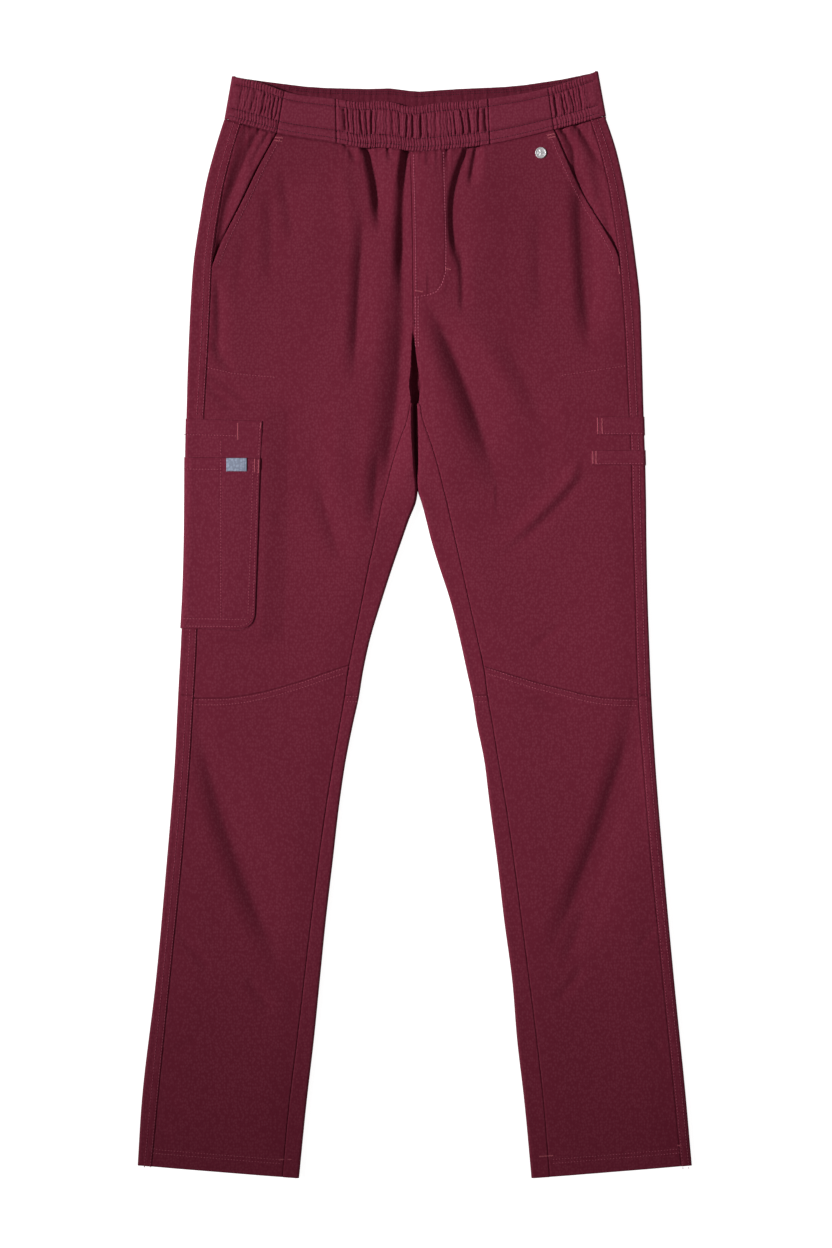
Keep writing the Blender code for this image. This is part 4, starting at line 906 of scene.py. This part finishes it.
def band_relief(place, share, plain):
    """Puffed casing between the lines of stitches, and the gathers that the elastic pulls."""
    down = BAND_DEPTH * share
    stitch = np.minimum(abs(share - UPPER_STITCH), abs(share - LOWER_STITCH)) * BAND_DEPTH
    z = 0.9 - 0.9 * np.exp(-(stitch / 2.2) ** 2) + dip(stitch, 0.6, 0.6)
    z = z + rolled(down, EDGE_ROUND, EDGE_ROUND) + rolled(BAND_DEPTH - down, EDGE_ROUND, EDGE_ROUND)
    z = z + dip(abs(BAND_DEPTH - down - FOOT_STITCH), 0.4, 0.6)
    elastic = ease((ELASTIC[1] - place) / 1.5) * ease((place - ELASTIC[0]) / 1.5)
    sides = np.maximum(ease((SIDE_PIECES[0] - place) / 1.5) * ease((place + 176) / 8),
                       ease((place - SIDE_PIECES[1]) / 1.5) * ease((174 - place) / 8))
    gathered = np.maximum(elastic, sides) * (not plain)
    middle = ease((share - UPPER_STITCH) * 22) * ease((LOWER_STITCH - share) * 22)
    for at, half, depth, lean in VALLEYS:
        wander = at + lean * (share - 0.4) * 2 + 0.3 * np.sin(share * 9 + at)
        reach = VALLEY_WIDTH * half * (0.8 + 0.45 * np.sin(math.pi * np.clip(share, 0, 1)))
        z = z - gathered * middle * depth * np.exp(-((place - wander) / reach) ** 2)
    fine = puckers(place + 0.5 * np.sin(share * 20), 2.8)
    fine = fine + 0.25 * puckers(place + 0.4 * np.sin(share * 13), 4.9, 2.0)
    z = z + gathered * (0.42 * (1 - middle) + 0.26 * middle) * fine
    return z + gathered * 0.4 * waves(place, 11.0, 1.0) * middle


def band_piece(name, places, plain, material):
    """A front piece of the band between two seams, with a share of its depth down the rows."""
    shares = BAND_SHARES[:, None]
    place = places[None, :] * np.ones_like(shares)
    x, y = band_place("front", place, shares)
    ends = np.minimum(abs(place - places[0]), abs(place - places[-1]))
    z = BAND_HEIGHT + band_relief(place, shares * np.ones_like(place), plain) + dip(ends, 1.2, 0.8)
    z = z + 0.1 * waves(shares * BAND_DEPTH, 6.0) * np.exp(-ends / 3)
    return cloth_body(name, *two_faces(x, y, z, BAND_WALL), material)


def back_inside(place, share):
    """Inner face of the back band, which shows above the front: two lines of stitches, ruffled."""
    down = BAND_DEPTH * share
    z = INSIDE_HEIGHT + 0.35 * waves(place, 4.1) * ease(down / 4) + 0.3 * waves(place, 9.0, 3.0)
    return z + stitched(down, INSIDE_ROWS) + rolled(down, INSIDE_ROUND, INSIDE_ROUND)


def band_round(name, material, shaded_reverse):
    """The back band: from one front side seam round the side, along the back and up again. Its inner face
    has the darker twill, painted shade.
    """
    shares = BAND_SHARES
    inset = TURN_REACH + 1.5

    def face_up(place):
        x, y = band_place("front", place, shares)
        seam = min(abs(place - SIDE_PIECES[0]), abs(place - SIDE_PIECES[1]))
        relief = band_relief(place, shares, False) + dip(seam, 1.2, 0.8)
        settled = ease((abs(abs(place) - BAND_END) - 3) / 5)
        return two_faces(x, y, BAND_HEIGHT + relief * (0.35 + 0.65 * settled), BAND_WALL)

    def turn_under(place, turn):
        sign = 1 if place > 0 else -1
        x, y = band_place("front", place, shares)
        centre, middle = x - sign * TURN_REACH, BAND_HEIGHT / 2
        ruffle = 0.3 * band_relief(place, shares, False) * max(math.sin(turn), 0)
        faces = []
        for wall in (0.0, BAND_WALL):
            side = centre + sign * (TURN_REACH - wall) * math.cos(turn)
            z = middle + (middle - wall) * math.sin(turn) + ruffle
            faces.append(np.stack([side, y, z], axis=1))
        return faces

    def along_back(place):
        x, y = band_place("back", place, shares)
        under = 0.25 * (1 + waves(place, 4.4)) * ease(shares * 8) * ease((1 - shares) * 8)
        return two_faces(x, y, under, under - back_inside(place, shares))

    columns = [face_up(place) for place in np.arange(SIDE_PIECES[0] - SEAM / 2, inset - BAND_END, -0.5)]
    columns += [turn_under(-BAND_END, turn) for turn in TURN]
    columns += [along_back(place) for place in np.linspace(8 - BAND_END, BAND_END - 8, 270)]
    columns += [turn_under(BAND_END, turn) for turn in TURN[::-1]]
    columns += [face_up(place) for place in
                np.arange(SIDE_PIECES[1] + SEAM / 2, BAND_END - inset, 0.5)[::-1]]
    return cloth_body(name, *grids(columns), material, shaded_reverse=shaded_reverse)


near_edges = NEAR[:8] / BAND_DEPTH
BAND_SHARES = np.concatenate([near_edges, 1 - near_edges, np.linspace(0.09, 0.91, 30),
                              [UPPER_STITCH, LOWER_STITCH]])
BAND_SHARES = np.unique(np.round(BAND_SHARES, 5))
# The band's twill is a lighter copy of the same burgundy twill: painted light, standing for the brighter
# light at the waist.
lit_band_twill = twill("lit_band_twill", (0.114, 0.0123, 0.0273), (0.169, 0.0314, 0.0542))
# The back band's inner face has a darker copy of that twill. It is partly the twill's duller reverse and
# partly painted shade of the inside below the front band.
shaded_inside_twill = twill("band_shaded_inside_twill", (0.080, 0.0077, 0.0181), (0.117, 0.0187, 0.0339))
piece = band_round("cloth_waistband_back", lit_band_twill, shaded_inside_twill)
lay_down(piece, "waistband_back", "waistband_cloth", (0.518, 0.049, 0.0236))
for name, start, end, count, plain, cut in (
        ("waistband_plain_right", SIDE_PIECES[0], ELASTIC[0], 60, True, (0.062, 0.048, 0.0028)),
        ("waistband_elastic_front", ELASTIC[0], ELASTIC[1], 320, False, (0.193, 0.051, 0.0091)),
        ("waistband_plain_left", ELASTIC[1], SIDE_PIECES[1], 70, True, (0.067, 0.049, 0.0032))):
    places = crossings(np.array([start + SEAM / 2]), np.array([end - SEAM / 2]), count)[0]
    piece = band_piece(f"cloth_{name}", places, plain, lit_band_twill)
    lay_down(piece, name, "waistband_cloth", cut, "waistband_back")

# ---------------------------------------------------------------------------------------------
# Cargo pocket. Two layers of twill on the right thigh with hemmed top edges: the inner one shows
# above the outer one. Both are stitched down along their front edge and wrap round the leg.
POCKET_CLOTH, LAP, WRAP = 0.65, 0.1, 62.0
CARGO_EDGE = [(206, -152.0), (167, -154.0), (90, -156.6), (14, -159.3)]
CARGO_CORNER = [(14.0, 0.0), (7.0, 1.2), (2.0, 4.2), (-1.5, 10.0), (-3.4, 18.0)]
CARGO_BOTTOM = -3.4
CARGO_TOP = {"inner": 206.0, "outer": 167.5}
CARGO_HEM = {"inner": 16.0, "outer": 12.0}
CARGO_TILT = {"inner": 2.4, "outer": 1.0}
CARGO_LIFT = {"inner": LAP + POCKET_CLOTH, "outer": 2 * (LAP + POCKET_CLOTH)}
PEN_DIVISION = -193.6                # row of stitches that parts off the pen pocket
PUFF, PUFF_EDGE, PUFF_FOOT = 0.6, 22.0, 26.0     # the outer layer's swell, and how it comes up
EDGE_ROW, SECOND_ROW = 2.2, 7.0      # rows of stitches inside the outer layer's edge
cargo_edge, cargo_corner = smooth_line(CARGO_EDGE), smooth_line(CARGO_CORNER)


def cargo_front(row):
    """Front edge of the cargo pocket, with its cut-off corner."""
    return cargo_edge(row) - np.where(row < CARGO_CORNER[0][0], cargo_corner(row), 0.0)


def patch_relief(edge_gap, top_gap, bottom_gap, hem):
    """A patch's rolled edges, its hem at the top and the dips of its edge stitches."""
    gap = np.minimum(edge_gap, bottom_gap)
    z = rolled(gap, 0.6, 0.9) + dip(abs(gap - EDGE_ROW), 0.25, 0.6)
    return z + rolled(top_gap, 0.9, 0.9) + welt(top_gap, hem + 0.8, 0.35) + dip(abs(top_gap - hem), 0.3, 0.6)


def cargo_z(layer, x, row):
    """Height of a pocket layer at a place across and a row down."""
    edge_gap, top_gap, bottom_gap = abs(x - cargo_front(row)), CARGO_TOP[layer] - row, row - CARGO_BOTTOM
    z = height(RIGHT, x, row) + CARGO_LIFT[layer]
    z = z + patch_relief(edge_gap, top_gap, bottom_gap, CARGO_HEM[layer])
    if layer == "outer":
        puff = ease(edge_gap / PUFF_EDGE) * ease(top_gap / 3 + 0.35) * ease(bottom_gap / PUFF_FOOT)
        z = z + PUFF * puff + 0.25 * waves(row + 0.3 * x, 60, 1.0) * puff
        z = z + dip(abs(x - PEN_DIVISION), 0.35, 0.8) + dip(abs(edge_gap - SECOND_ROW), 0.2, 0.6)
        z = z + 0.5 * np.exp(-(top_gap / 7) ** 2) * np.exp(-((x + 178) / 13) ** 2)
    return z


def patch(name, leg, rows, front, lift, face, tilt, material):
    """A pocket layer or loop over the leg's outer face, round its edge and under it."""
    fold_x = leg.outer(rows) - leg.sign * TURN_REACH
    columns = []
    for share in np.concatenate([NEAR[:9] / 60, np.linspace(0.11, 1, 34)[:-1]]):
        x = front + (fold_x - front) * share
        columns.append(two_faces(x, rows - tilt * (1 - share), face(x, rows), POCKET_CLOTH))
    columns += [turned(leg, rows, turn, False, lift, POCKET_CLOTH) for turn in TURN]
    for reach in np.linspace(0, WRAP, 14)[1:]:
        x = fold_x - leg.sign * reach
        columns.append(two_faces(x, rows, leg.ground(x, rows) - lift, -POCKET_CLOTH))
    return cloth_body(name, *grids(columns), material)


pocket_twill = twill("pocket_twill", (0.102, 0.0099, 0.0232), (0.153, 0.0275, 0.0475))
corner_rows = np.linspace(16, CARGO_BOTTOM + 3, 10)
for layer, cut, under in (
        ("inner", (0.148, 0.221, 0.0304), "front_upper_right"),
        ("outer", (0.149, 0.183, 0.0252), "cargo_pocket_inner")):
    rows = np.concatenate([levels(CARGO_TOP[layer], 18, 2.4, True, False), corner_rows,
                           CARGO_BOTTOM + NEAR[7::-1] / 1.3])
    piece = patch(f"cloth_cargo_pocket_{layer}", RIGHT, rows, cargo_front(rows), CARGO_LIFT[layer],
                  lambda x, row: cargo_z(layer, x, row), CARGO_TILT[layer], pocket_twill)
    lay_down(piece, f"cargo_pocket_{layer}", "pocket_cloth", cut, under)

# ---------------------------------------------------------------------------------------------
# Utility loops. Two strips of folded twill on the left thigh, tacked down at their front end and
# wrapped round the outer edge; the outseam runs on under them.
# Top, bottom and front edge of each, then the width, length and area of its cut in metres
LOOPS = [("utility_loop_upper", 208.0, 189.5, 181.2, (0.120, 0.0197, 0.0023)),
         ("utility_loop_lower", 174.5, 159.5, 175.6, (0.126, 0.0163, 0.0020))]
LOOP_ROW = 1.6        # row of stitches above the loop's bottom edge


def loop_z(top, bottom, front, x, row):
    """Height of a loop, which has no hem but a row of stitches along its bottom edge."""
    z = height(LEFT, x, row) + LAP + POCKET_CLOTH
    z = z + patch_relief(abs(x - front), top - row, FAR, FAR)
    return z + dip(abs(row - bottom - LOOP_ROW), 0.25, 0.6) + rolled(row - bottom, 0.9, 0.9)


for name, top, bottom, front, cut in LOOPS:
    rows = levels(top, bottom, 1.2)
    piece = patch(f"cloth_{name}", LEFT, rows, np.full(rows.shape, front), LAP + POCKET_CLOTH,
                  lambda x, row: loop_z(top, bottom, front, x, row), 0.0, pocket_twill)
    lay_down(piece, name, "pocket_cloth", cut, "front_upper_left")

# ---------------------------------------------------------------------------------------------
# Label. A small woven tab, blank, folded over at its ends and stitched on beside the pen pocket's
# division, just under the cargo pocket's top edge.
LABEL = (-188.0, -167.6, 166.4, 153.2)     # left, right, top and bottom
LABEL_THICK, LABEL_LAP, LABEL_BORDER = 0.8, 0.25, 1.5


def label_z(x, y):
    """Height of the tab over the pocket: rolled edges and a stitched border."""
    left, right, top, bottom = LABEL
    gap = np.minimum(np.minimum(x - left, right - x), np.minimum(top - y, y - bottom))
    z = cargo_z("outer", x, y) + LABEL_LAP + LABEL_THICK
    return z + rolled(gap, 0.5, 0.5) + dip(abs(gap - LABEL_BORDER), 0.14, 0.35) + 0.15 * ease(gap / 4)


label_weave = woven("label_weave", (0.150, 0.172, 0.232), (0.26, 0.295, 0.38), amount=0.9, ribs=700,
                    roughness=0.6, specular=0.3, strength=0.4, depth=0.0001)
x = crossings(np.full(34, LABEL[0]), np.full(34, LABEL[1]), 18)
y = np.linspace(LABEL[2], LABEL[3], 34)[:, None] * np.ones_like(x)
label = cloth_body("cloth_label_tab", *two_faces(x, y, label_z(x, y), LABEL_THICK), label_weave)
lay_down(label, "label_tab", "label_cloth", (0.0204, 0.0132, None), "cargo_pocket_outer")

# ---------------------------------------------------------------------------------------------
# Snap. The cap of a pressed metal snap, brushed and slightly domed with a raised rim and four
# small dimples, set through the front panel beside the left pocket mouth.
SNAP_X, SNAP_Y, SNAP_RADIUS = 125.5, 471.2, 5.8
SNAP_PROFILE = [(5.6, 0.0), (5.6, 0.55), (5.5, 0.95), (5.3, 1.2), (4.9, 1.26), (4.55, 1.16), (4.35, 0.92),
                (4.1, 0.84), (3.6, 0.92), (2.9, 1.08), (2.1, 1.2), (1.3, 1.27), (0.6, 1.3), (0.15, 1.3)]
DIMPLE_RING, DIMPLE_DEPTH, DIMPLE_REACH = 2.3, 0.75, 0.7


def two_tone_group():
    """Small uneven change between a dark and a light tone, and how far it has gone."""
    group, given, made = node_group("two_tone", (
        ("INPUT", "NodeSocketColor", ("Dark", "Light")), ("INPUT", "NodeSocketFloat", ("Scale",)),
        ("OUTPUT", "NodeSocketColor", ("Colour",)), ("OUTPUT", "NodeSocketFloat", ("Share",))))
    place = group.nodes.new("ShaderNodeTexCoord")
    noise = group.nodes.new("ShaderNodeTexNoise")
    tone = group.nodes.new("ShaderNodeMix")
    tone.data_type = "RGBA"
    for out, into in (
            (place.outputs["Object"], noise.inputs["Vector"]),
            (given.outputs["Scale"], noise.inputs["Scale"]),
            (noise.outputs[0], tone.inputs[0]), (given.outputs["Dark"], tone.inputs[6]),
            (given.outputs["Light"], tone.inputs[7]), (tone.outputs[2], made.inputs["Colour"]),
            (noise.outputs[0], made.inputs["Share"])):
        group.links.new(out, into)
    return group


two_tone = two_tone_group()


def mottled(name, dark, light, scale):
    """A material between two tones, its shader, and the node that mixes them."""
    material = bpy.data.materials.new(name)
    material.use_nodes = True
    nodes, links = material.node_tree.nodes, material.node_tree.links
    shader, mix = nodes["Principled BSDF"], nodes.new("ShaderNodeGroup")
    mix.node_tree = two_tone
    set_sockets(mix, {"Dark": (*dark, 1), "Light": (*light, 1), "Scale": scale})
    links.new(mix.outputs["Colour"], shader.inputs["Base Color"])
    return material, shader, mix


angles = np.linspace(0, 2 * math.pi, 65)
radius, rise = (np.array(column)[:, None] for column in zip(*SNAP_PROFILE))
ring_x, ring_y = radius * np.cos(angles), radius * np.sin(angles)
around = np.linspace(0, 2 * math.pi, 24)
rim_x, rim_y = SNAP_X + SNAP_RADIUS * np.cos(around), SNAP_Y + SNAP_RADIUS * np.sin(around)
seat = float(height(LEFT, rim_x, rim_y).max())
dimples = np.zeros(ring_x.shape)
for k in range(4):
    way = (k + 0.5) * math.pi / 2
    gap = np.hypot(ring_x - DIMPLE_RING * math.cos(way), ring_y - DIMPLE_RING * math.sin(way))
    dimples += DIMPLE_DEPTH * np.exp(-(gap / DIMPLE_REACH) ** 2)
points = np.stack([SNAP_X + ring_x, SNAP_Y + ring_y, seat + rise - dimples], axis=2)[:, :-1]
index = np.arange(points.shape[0] * points.shape[1]).reshape(points.shape[:2])
after = np.roll(index, -1, axis=1)
faces = np.stack([index[:-1], after[:-1], after[1:], index[1:]], axis=2).reshape(-1, 4).tolist()
faces += [index[0, ::-1].tolist(), index[-1].tolist()]
mesh = bpy.data.meshes.new("snap_cap_metal")
mesh.from_pydata((points.reshape(-1, 3) * MM).tolist(), [], faces)
mesh.shade_smooth()
mesh.set_sharp_from_angle(angle=math.radians(55))
metal, shader, mix = mottled("brushed_snap_metal", (0.38, 0.38, 0.40), (0.54, 0.53, 0.53), 900)
shader.inputs["Metallic"].default_value = 0.55
gloss = metal.node_tree.nodes.new("ShaderNodeMapRange")
set_sockets(gloss, {"To Min": 0.42, "To Max": 0.6})
metal.node_tree.links.new(mix.outputs["Share"], gloss.inputs["Value"])
metal.node_tree.links.new(gloss.outputs[0], shader.inputs["Roughness"])
mesh.materials.append(metal)
snap = put("snap_cap_metal", mesh)
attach(snap, "root")
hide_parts("snap_cap")

# ---------------------------------------------------------------------------------------------
# Threads. Lockstitch rows in rose thread along the seams, dark rows on the waistband, and bar
# tacks in brighter thread. Each stitch lies on the cloth and dives into it at both ends.
PITCH, STITCH, THREAD = 3.0, 1.8, 0.42     # a stitch's step and length, and its thread's radius
BAND_PITCH, BAND_STITCH = 2.4, 1.7
SIDES = 5                                  # sides of the thread's round
# Distance from their seams of the rows along the outseam, over the hem and beside the mouth
OUTSEAM_LINES, HEM_LINES, MOUTH_LINE, CENTRE_LINE = (1.6, 7.5), (17.4, 13.6), 6.2, 2.5


def row_of_stitches(x, y, surface, pitch=PITCH, length=STITCH):
    """Start and end of every stitch along a path, and the surface that it is sewn on."""
    path = np.stack(np.broadcast_arrays(x, y), axis=1).astype(float)
    steps = np.concatenate([[0], np.cumsum(np.hypot(*np.diff(path, axis=0).T))])
    starts = np.arange(0.3, steps[-1] - length, pitch)
    ends = [np.stack([np.interp(starts + extra, steps, path[:, k]) for k in (0, 1)], axis=1)
            for extra in (0, length)]
    return np.stack(ends, axis=1), surface


def bar_tack(x0, y0, x1, y1, width, surface, pitch=0.55):
    """Close zigzag of thread between two points, and the surface that it is sewn on."""
    long = math.hypot(x1 - x0, y1 - y0)
    count = max(int(long / pitch), 2)
    t = np.linspace(0, 1, count + 1)[:, None]
    line = np.array([x0, y0]) * (1 - t) + np.array([x1, y1]) * t
    across = np.array([-(y1 - y0), x1 - x0]) / long * width / 2
    ends = line + np.where(np.arange(count + 1) % 2 == 0, 1, -1)[:, None] * across
    return np.stack([ends[:-1], ends[1:]], axis=1), surface


def sewn(name, groups, radius, material):
    """One mesh of stitches: groups of (stitches, surface), where a surface gives x, y and z. Each
    stitch has four rings: along it, over the cloth, and as a share of its radius."""
    rings, lifts, widths = (0.0, 0.28, 0.72, 1.0), (-0.35, 0.5, 0.5, -0.35), (0.5, 1.0, 1.0, 0.5)
    turn = np.arange(SIDES) * 2 * math.pi / SIDES
    points, faces, done = [], [], 0
    for stitches, surface in groups:
        ends = [surface(stitches[:, 0, 0] * (1 - t) + stitches[:, 1, 0] * t,
                        stitches[:, 0, 1] * (1 - t) + stitches[:, 1, 1] * t) for t in rings]
        centres = [np.stack(np.broadcast_arrays(*end), axis=1) for end in ends]
        ahead = centres[-1][:, :2] - centres[0][:, :2]
        ahead = ahead / np.linalg.norm(ahead, axis=1)[:, None]
        side = np.stack([-ahead[:, 1], ahead[:, 0], np.zeros(len(ahead))], axis=1)
        body = []
        for centre, lift, width in zip(centres, lifts, widths):
            middle = centre + [0, 0, lift * radius]
            around = [middle + radius * width * (math.cos(a) * side + math.sin(a) * np.array([0, 0, 1.0]))
                      for a in turn]
            body.append(np.stack(around, axis=1))
        body = np.stack(body, axis=1)
        index = done + np.arange(body.shape[0] * 4 * SIDES).reshape(-1, 4, SIDES)
        after = np.roll(index, -1, axis=2)
        quads = np.stack([index[:, :-1], index[:, 1:], after[:, 1:], after[:, :-1]], axis=3)
        faces += quads.reshape(-1, 4).tolist() + index[:, 0].tolist() + index[:, -1, ::-1].tolist()
        points.append(body.reshape(-1, 3))
        done += body.shape[0] * 4 * SIDES
    mesh = bpy.data.meshes.new(name)
    mesh.from_pydata((np.concatenate(points) * MM).tolist(), [], faces)
    mesh.shade_smooth()
    mesh.materials.append(material)
    piece = put(name, mesh)
    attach(piece, "root")


def thread(name, dark, light):
    """Polyester thread: paler and darker stitches along a row."""
    material, shader, _ = mottled(name, dark, light, 260)
    set_sockets(shader, {"Roughness": 0.55, "Specular IOR Level": 0.1})
    return material


rose_thread = thread("rose_thread", (0.156, 0.024, 0.044), (0.310, 0.064, 0.100))
dark_thread = thread("dark_thread", (0.022, 0.003, 0.008), (0.050, 0.007, 0.016))
fly_thread = thread("fly_thread", (0.270, 0.046, 0.084), (0.460, 0.115, 0.170))
tack_thread = thread("tack_thread", (0.240, 0.037, 0.055), (0.400, 0.100, 0.130))


def on_front(leg, upper):
    """The front panel's own face under a row of stitches."""
    def at(x, y):
        knee = abs(y - knee_seam(x))
        waist = band_foot_front(x) - y
        return x, y, front_z(leg, x, y, waist, knee, upper)
    return at


def on_strip(leg):
    return lambda x, y: (x, y, strip_z(leg, x, y))


def on_band(x, share):
    return *band_place("front", x, share), BAND_HEIGHT + band_relief(x, share, False)


def on_back_band(x, share):
    return *band_place("back", x, share), back_inside(x, share)


def on_cargo(layer):
    """A pocket layer's face, which is tilted down towards its front edge."""
    def at(x, y):
        outer = RIGHT.outer(y)
        tilt = CARGO_TILT[layer] * (x - outer - TURN_REACH) / (cargo_front(y) - outer)
        return x, y - tilt, cargo_z(layer, x, y)
    return at


def on_loop(loop):
    return lambda x, y: (x, y, loop_z(*loop[1:4], x, y))


# Rows along the outseam, under the knee seam, over the hem and beside the pocket mouth. The
# outseam's rows leave out what the cargo pocket or the upper loop covers.
for leg, covered in ((RIGHT, (CARGO_TOP["inner"] + 1, CARGO_BOTTOM - 1)), (LEFT, (209.0, 189.0))):
    sign, groups = leg.sign, []
    for gap in OUTSEAM_LINES:
        for high, low in ((505, covered[0]), (covered[1], -543)):
            y = np.linspace(high, low, 200)
            groups.append(row_of_stitches(leg.outseam(y) + sign * gap, y, on_strip(leg)))
    x = np.linspace(leg.outseam(KNEE_ROW) - sign * 1.5, leg.inseam(KNEE_ROW + 8) + sign * 1.5, 60)
    groups += [row_of_stitches(x, knee_seam(x) - row[0], on_front(leg, False)) for row in KNEE_ROWS]
    x = np.linspace(leg.inseam(KNEE_ROW) - sign * 1.0, leg.inner(KNEE_ROW) + sign * 1.5, 10)
    groups += [row_of_stitches(x, KNEE_ROW - row[0], on_strip(leg)) for row in KNEE_ROWS_BACK]
    x = np.linspace(leg.outseam(HEM_ROW) - sign * 1.0, leg.inseam(HEM_ROW) + sign * 1.0, 60)
    groups += [row_of_stitches(x, HEM_ROW + hem_drop(x) + gap, on_front(leg, False)) for gap in HEM_LINES]
    y = np.linspace(488, POCKET_MOUTH_END + 2, 60)
    groups.append(row_of_stitches(leg.front_edge(y) - sign * MOUTH_LINE, y, on_front(leg, True)))
    sewn(f"seam_threads_{leg.side}", groups, THREAD, rose_thread)

# The centre seam, the mock fly's curve and two short rows under it
y = np.linspace(470, 330, 80)
groups = [row_of_stitches(centre_line(y) + CENTRE_LINE, y, on_front(LEFT, True)),
          row_of_stitches(*np.transpose(FLY_LINE), on_front(LEFT, True))]
y = np.linspace(328, 276, 40)
groups += [row_of_stitches(centre_line(y) + gap, y, on_front(LEFT, True)) for gap in (2.0, 4.8)]
sewn("fly_threads", groups, 0.46, fly_thread)

# The lower ends of the pocket bags
groups = [row_of_stitches((146, 212), (249, 259), on_front(LEFT, True)),
          row_of_stitches((-207, -181, -139), (257, 251, 247), on_front(RIGHT, True))]
sewn("pocket_bag_threads", groups, 0.36, rose_thread)

groups = []
for surface, reach, shares in (
        (on_band, 178, (UPPER_STITCH, LOWER_STITCH, 1 - FOOT_STITCH / BAND_DEPTH)),
        (on_back_band, 160, [row[0] / BAND_DEPTH for row in INSIDE_ROWS])):
    for share in shares:
        x = np.linspace(-reach, reach, 400)
        stitches, _ = row_of_stitches(x, 0.0, surface, BAND_PITCH, BAND_STITCH)
        stitches[:, :, 1] = share
        groups.append((stitches, surface))
sewn("waistband_threads", groups, 0.40, dark_thread)

inner_layer, outer_layer = on_cargo("inner"), on_cargo("outer")
groups = [row_of_stitches(np.linspace(-231, -177, 30), CARGO_TOP["inner"] - CARGO_HEM["inner"], inner_layer),
          row_of_stitches(np.linspace(-231, -195, 30), CARGO_TOP["outer"] - CARGO_HEM["outer"], outer_layer)]
y = np.linspace(204, 169, 20)
groups.append(row_of_stitches(cargo_front(y) - EDGE_ROW, y, inner_layer))
y = np.linspace(166, 14, 60)
corner = [(cargo_front(row) - EDGE_ROW, row + 2.2 * (14 - row) / 17.4)
          for row in (10, 6, 3, 0.5, -1.5, -3.0)]
edge = np.concatenate([np.stack([cargo_front(y) - EDGE_ROW, y], axis=1), corner, [(-231, -1.0)]])
groups.append(row_of_stitches(*edge.T, outer_layer))
y = np.linspace(164, 12, 60)
groups += [row_of_stitches(cargo_front(y) - SECOND_ROW, y, outer_layer),
           row_of_stitches(PEN_DIVISION, (166, 6), outer_layer),
           row_of_stitches(PEN_DIVISION, (185, 169), inner_layer),
           row_of_stitches((-231, -168), 6.3, outer_layer)]
for loop in LOOPS:
    groups.append(row_of_stitches((loop[3] + 5, 228), loop[2] + LOOP_ROW, on_loop(loop)))
sewn("pocket_threads", groups, THREAD, rose_thread)

# Bar tacks: both ends, width, and the face they hold
tacks = [
    (-139.5, 486.6, -131.7, 485.8, 1.5, on_front(RIGHT, True)),
    (-140.5, 483.6, -132.5, 482.6, 1.5, on_front(RIGHT, True)),
    (131.8, 488.6, 139.5, 490.2, 1.5, on_front(LEFT, True)),
    (132.5, 485.8, 140.4, 487.4, 1.5, on_front(LEFT, True)),
    (30.3, 355.6, 35.8, 354.2, 1.3, on_front(LEFT, True)),
    (-0.2, 333.6, 8.0, 332.4, 1.3, on_front(LEFT, True)),
    (203.2, 358.5, 204.4, 350.5, 1.2, on_front(LEFT, True)),
    (-176.6, 203.0, -176.6, 186.5, 1.5, inner_layer),
    (-153.9, 204.0, -153.7, 198.0, 1.2, inner_layer),
    (-159.6, 166.5, -159.8, 153.5, 1.4, outer_layer),
    (-155.6, 165.8, -155.8, 152.5, 1.4, outer_layer),
    (182.2, 206.5, 182.6, 190.5, 1.3, on_loop(LOOPS[0])),
    (186.6, 206.3, 186.9, 190.8, 1.3, on_loop(LOOPS[0])),
    (177.4, 173.6, 177.6, 160.6, 1.5, on_loop(LOOPS[1])),
    (180.6, 173.4, 180.8, 160.8, 1.3, on_loop(LOOPS[1])),
    (-268, -523.5, -260, -522.5, 1.4, on_front(RIGHT, False)),
    (-136, -533.5, -123, -533.5, 1.4, on_front(RIGHT, False)),
    (124, -530.5, 138, -529.5, 1.4, on_front(LEFT, False)),
    (262, -519.5, 270, -520, 1.4, on_front(LEFT, False)),
]
sewn("bar_tacks", [bar_tack(*tack) for tack in tacks], 0.27, tack_thread)
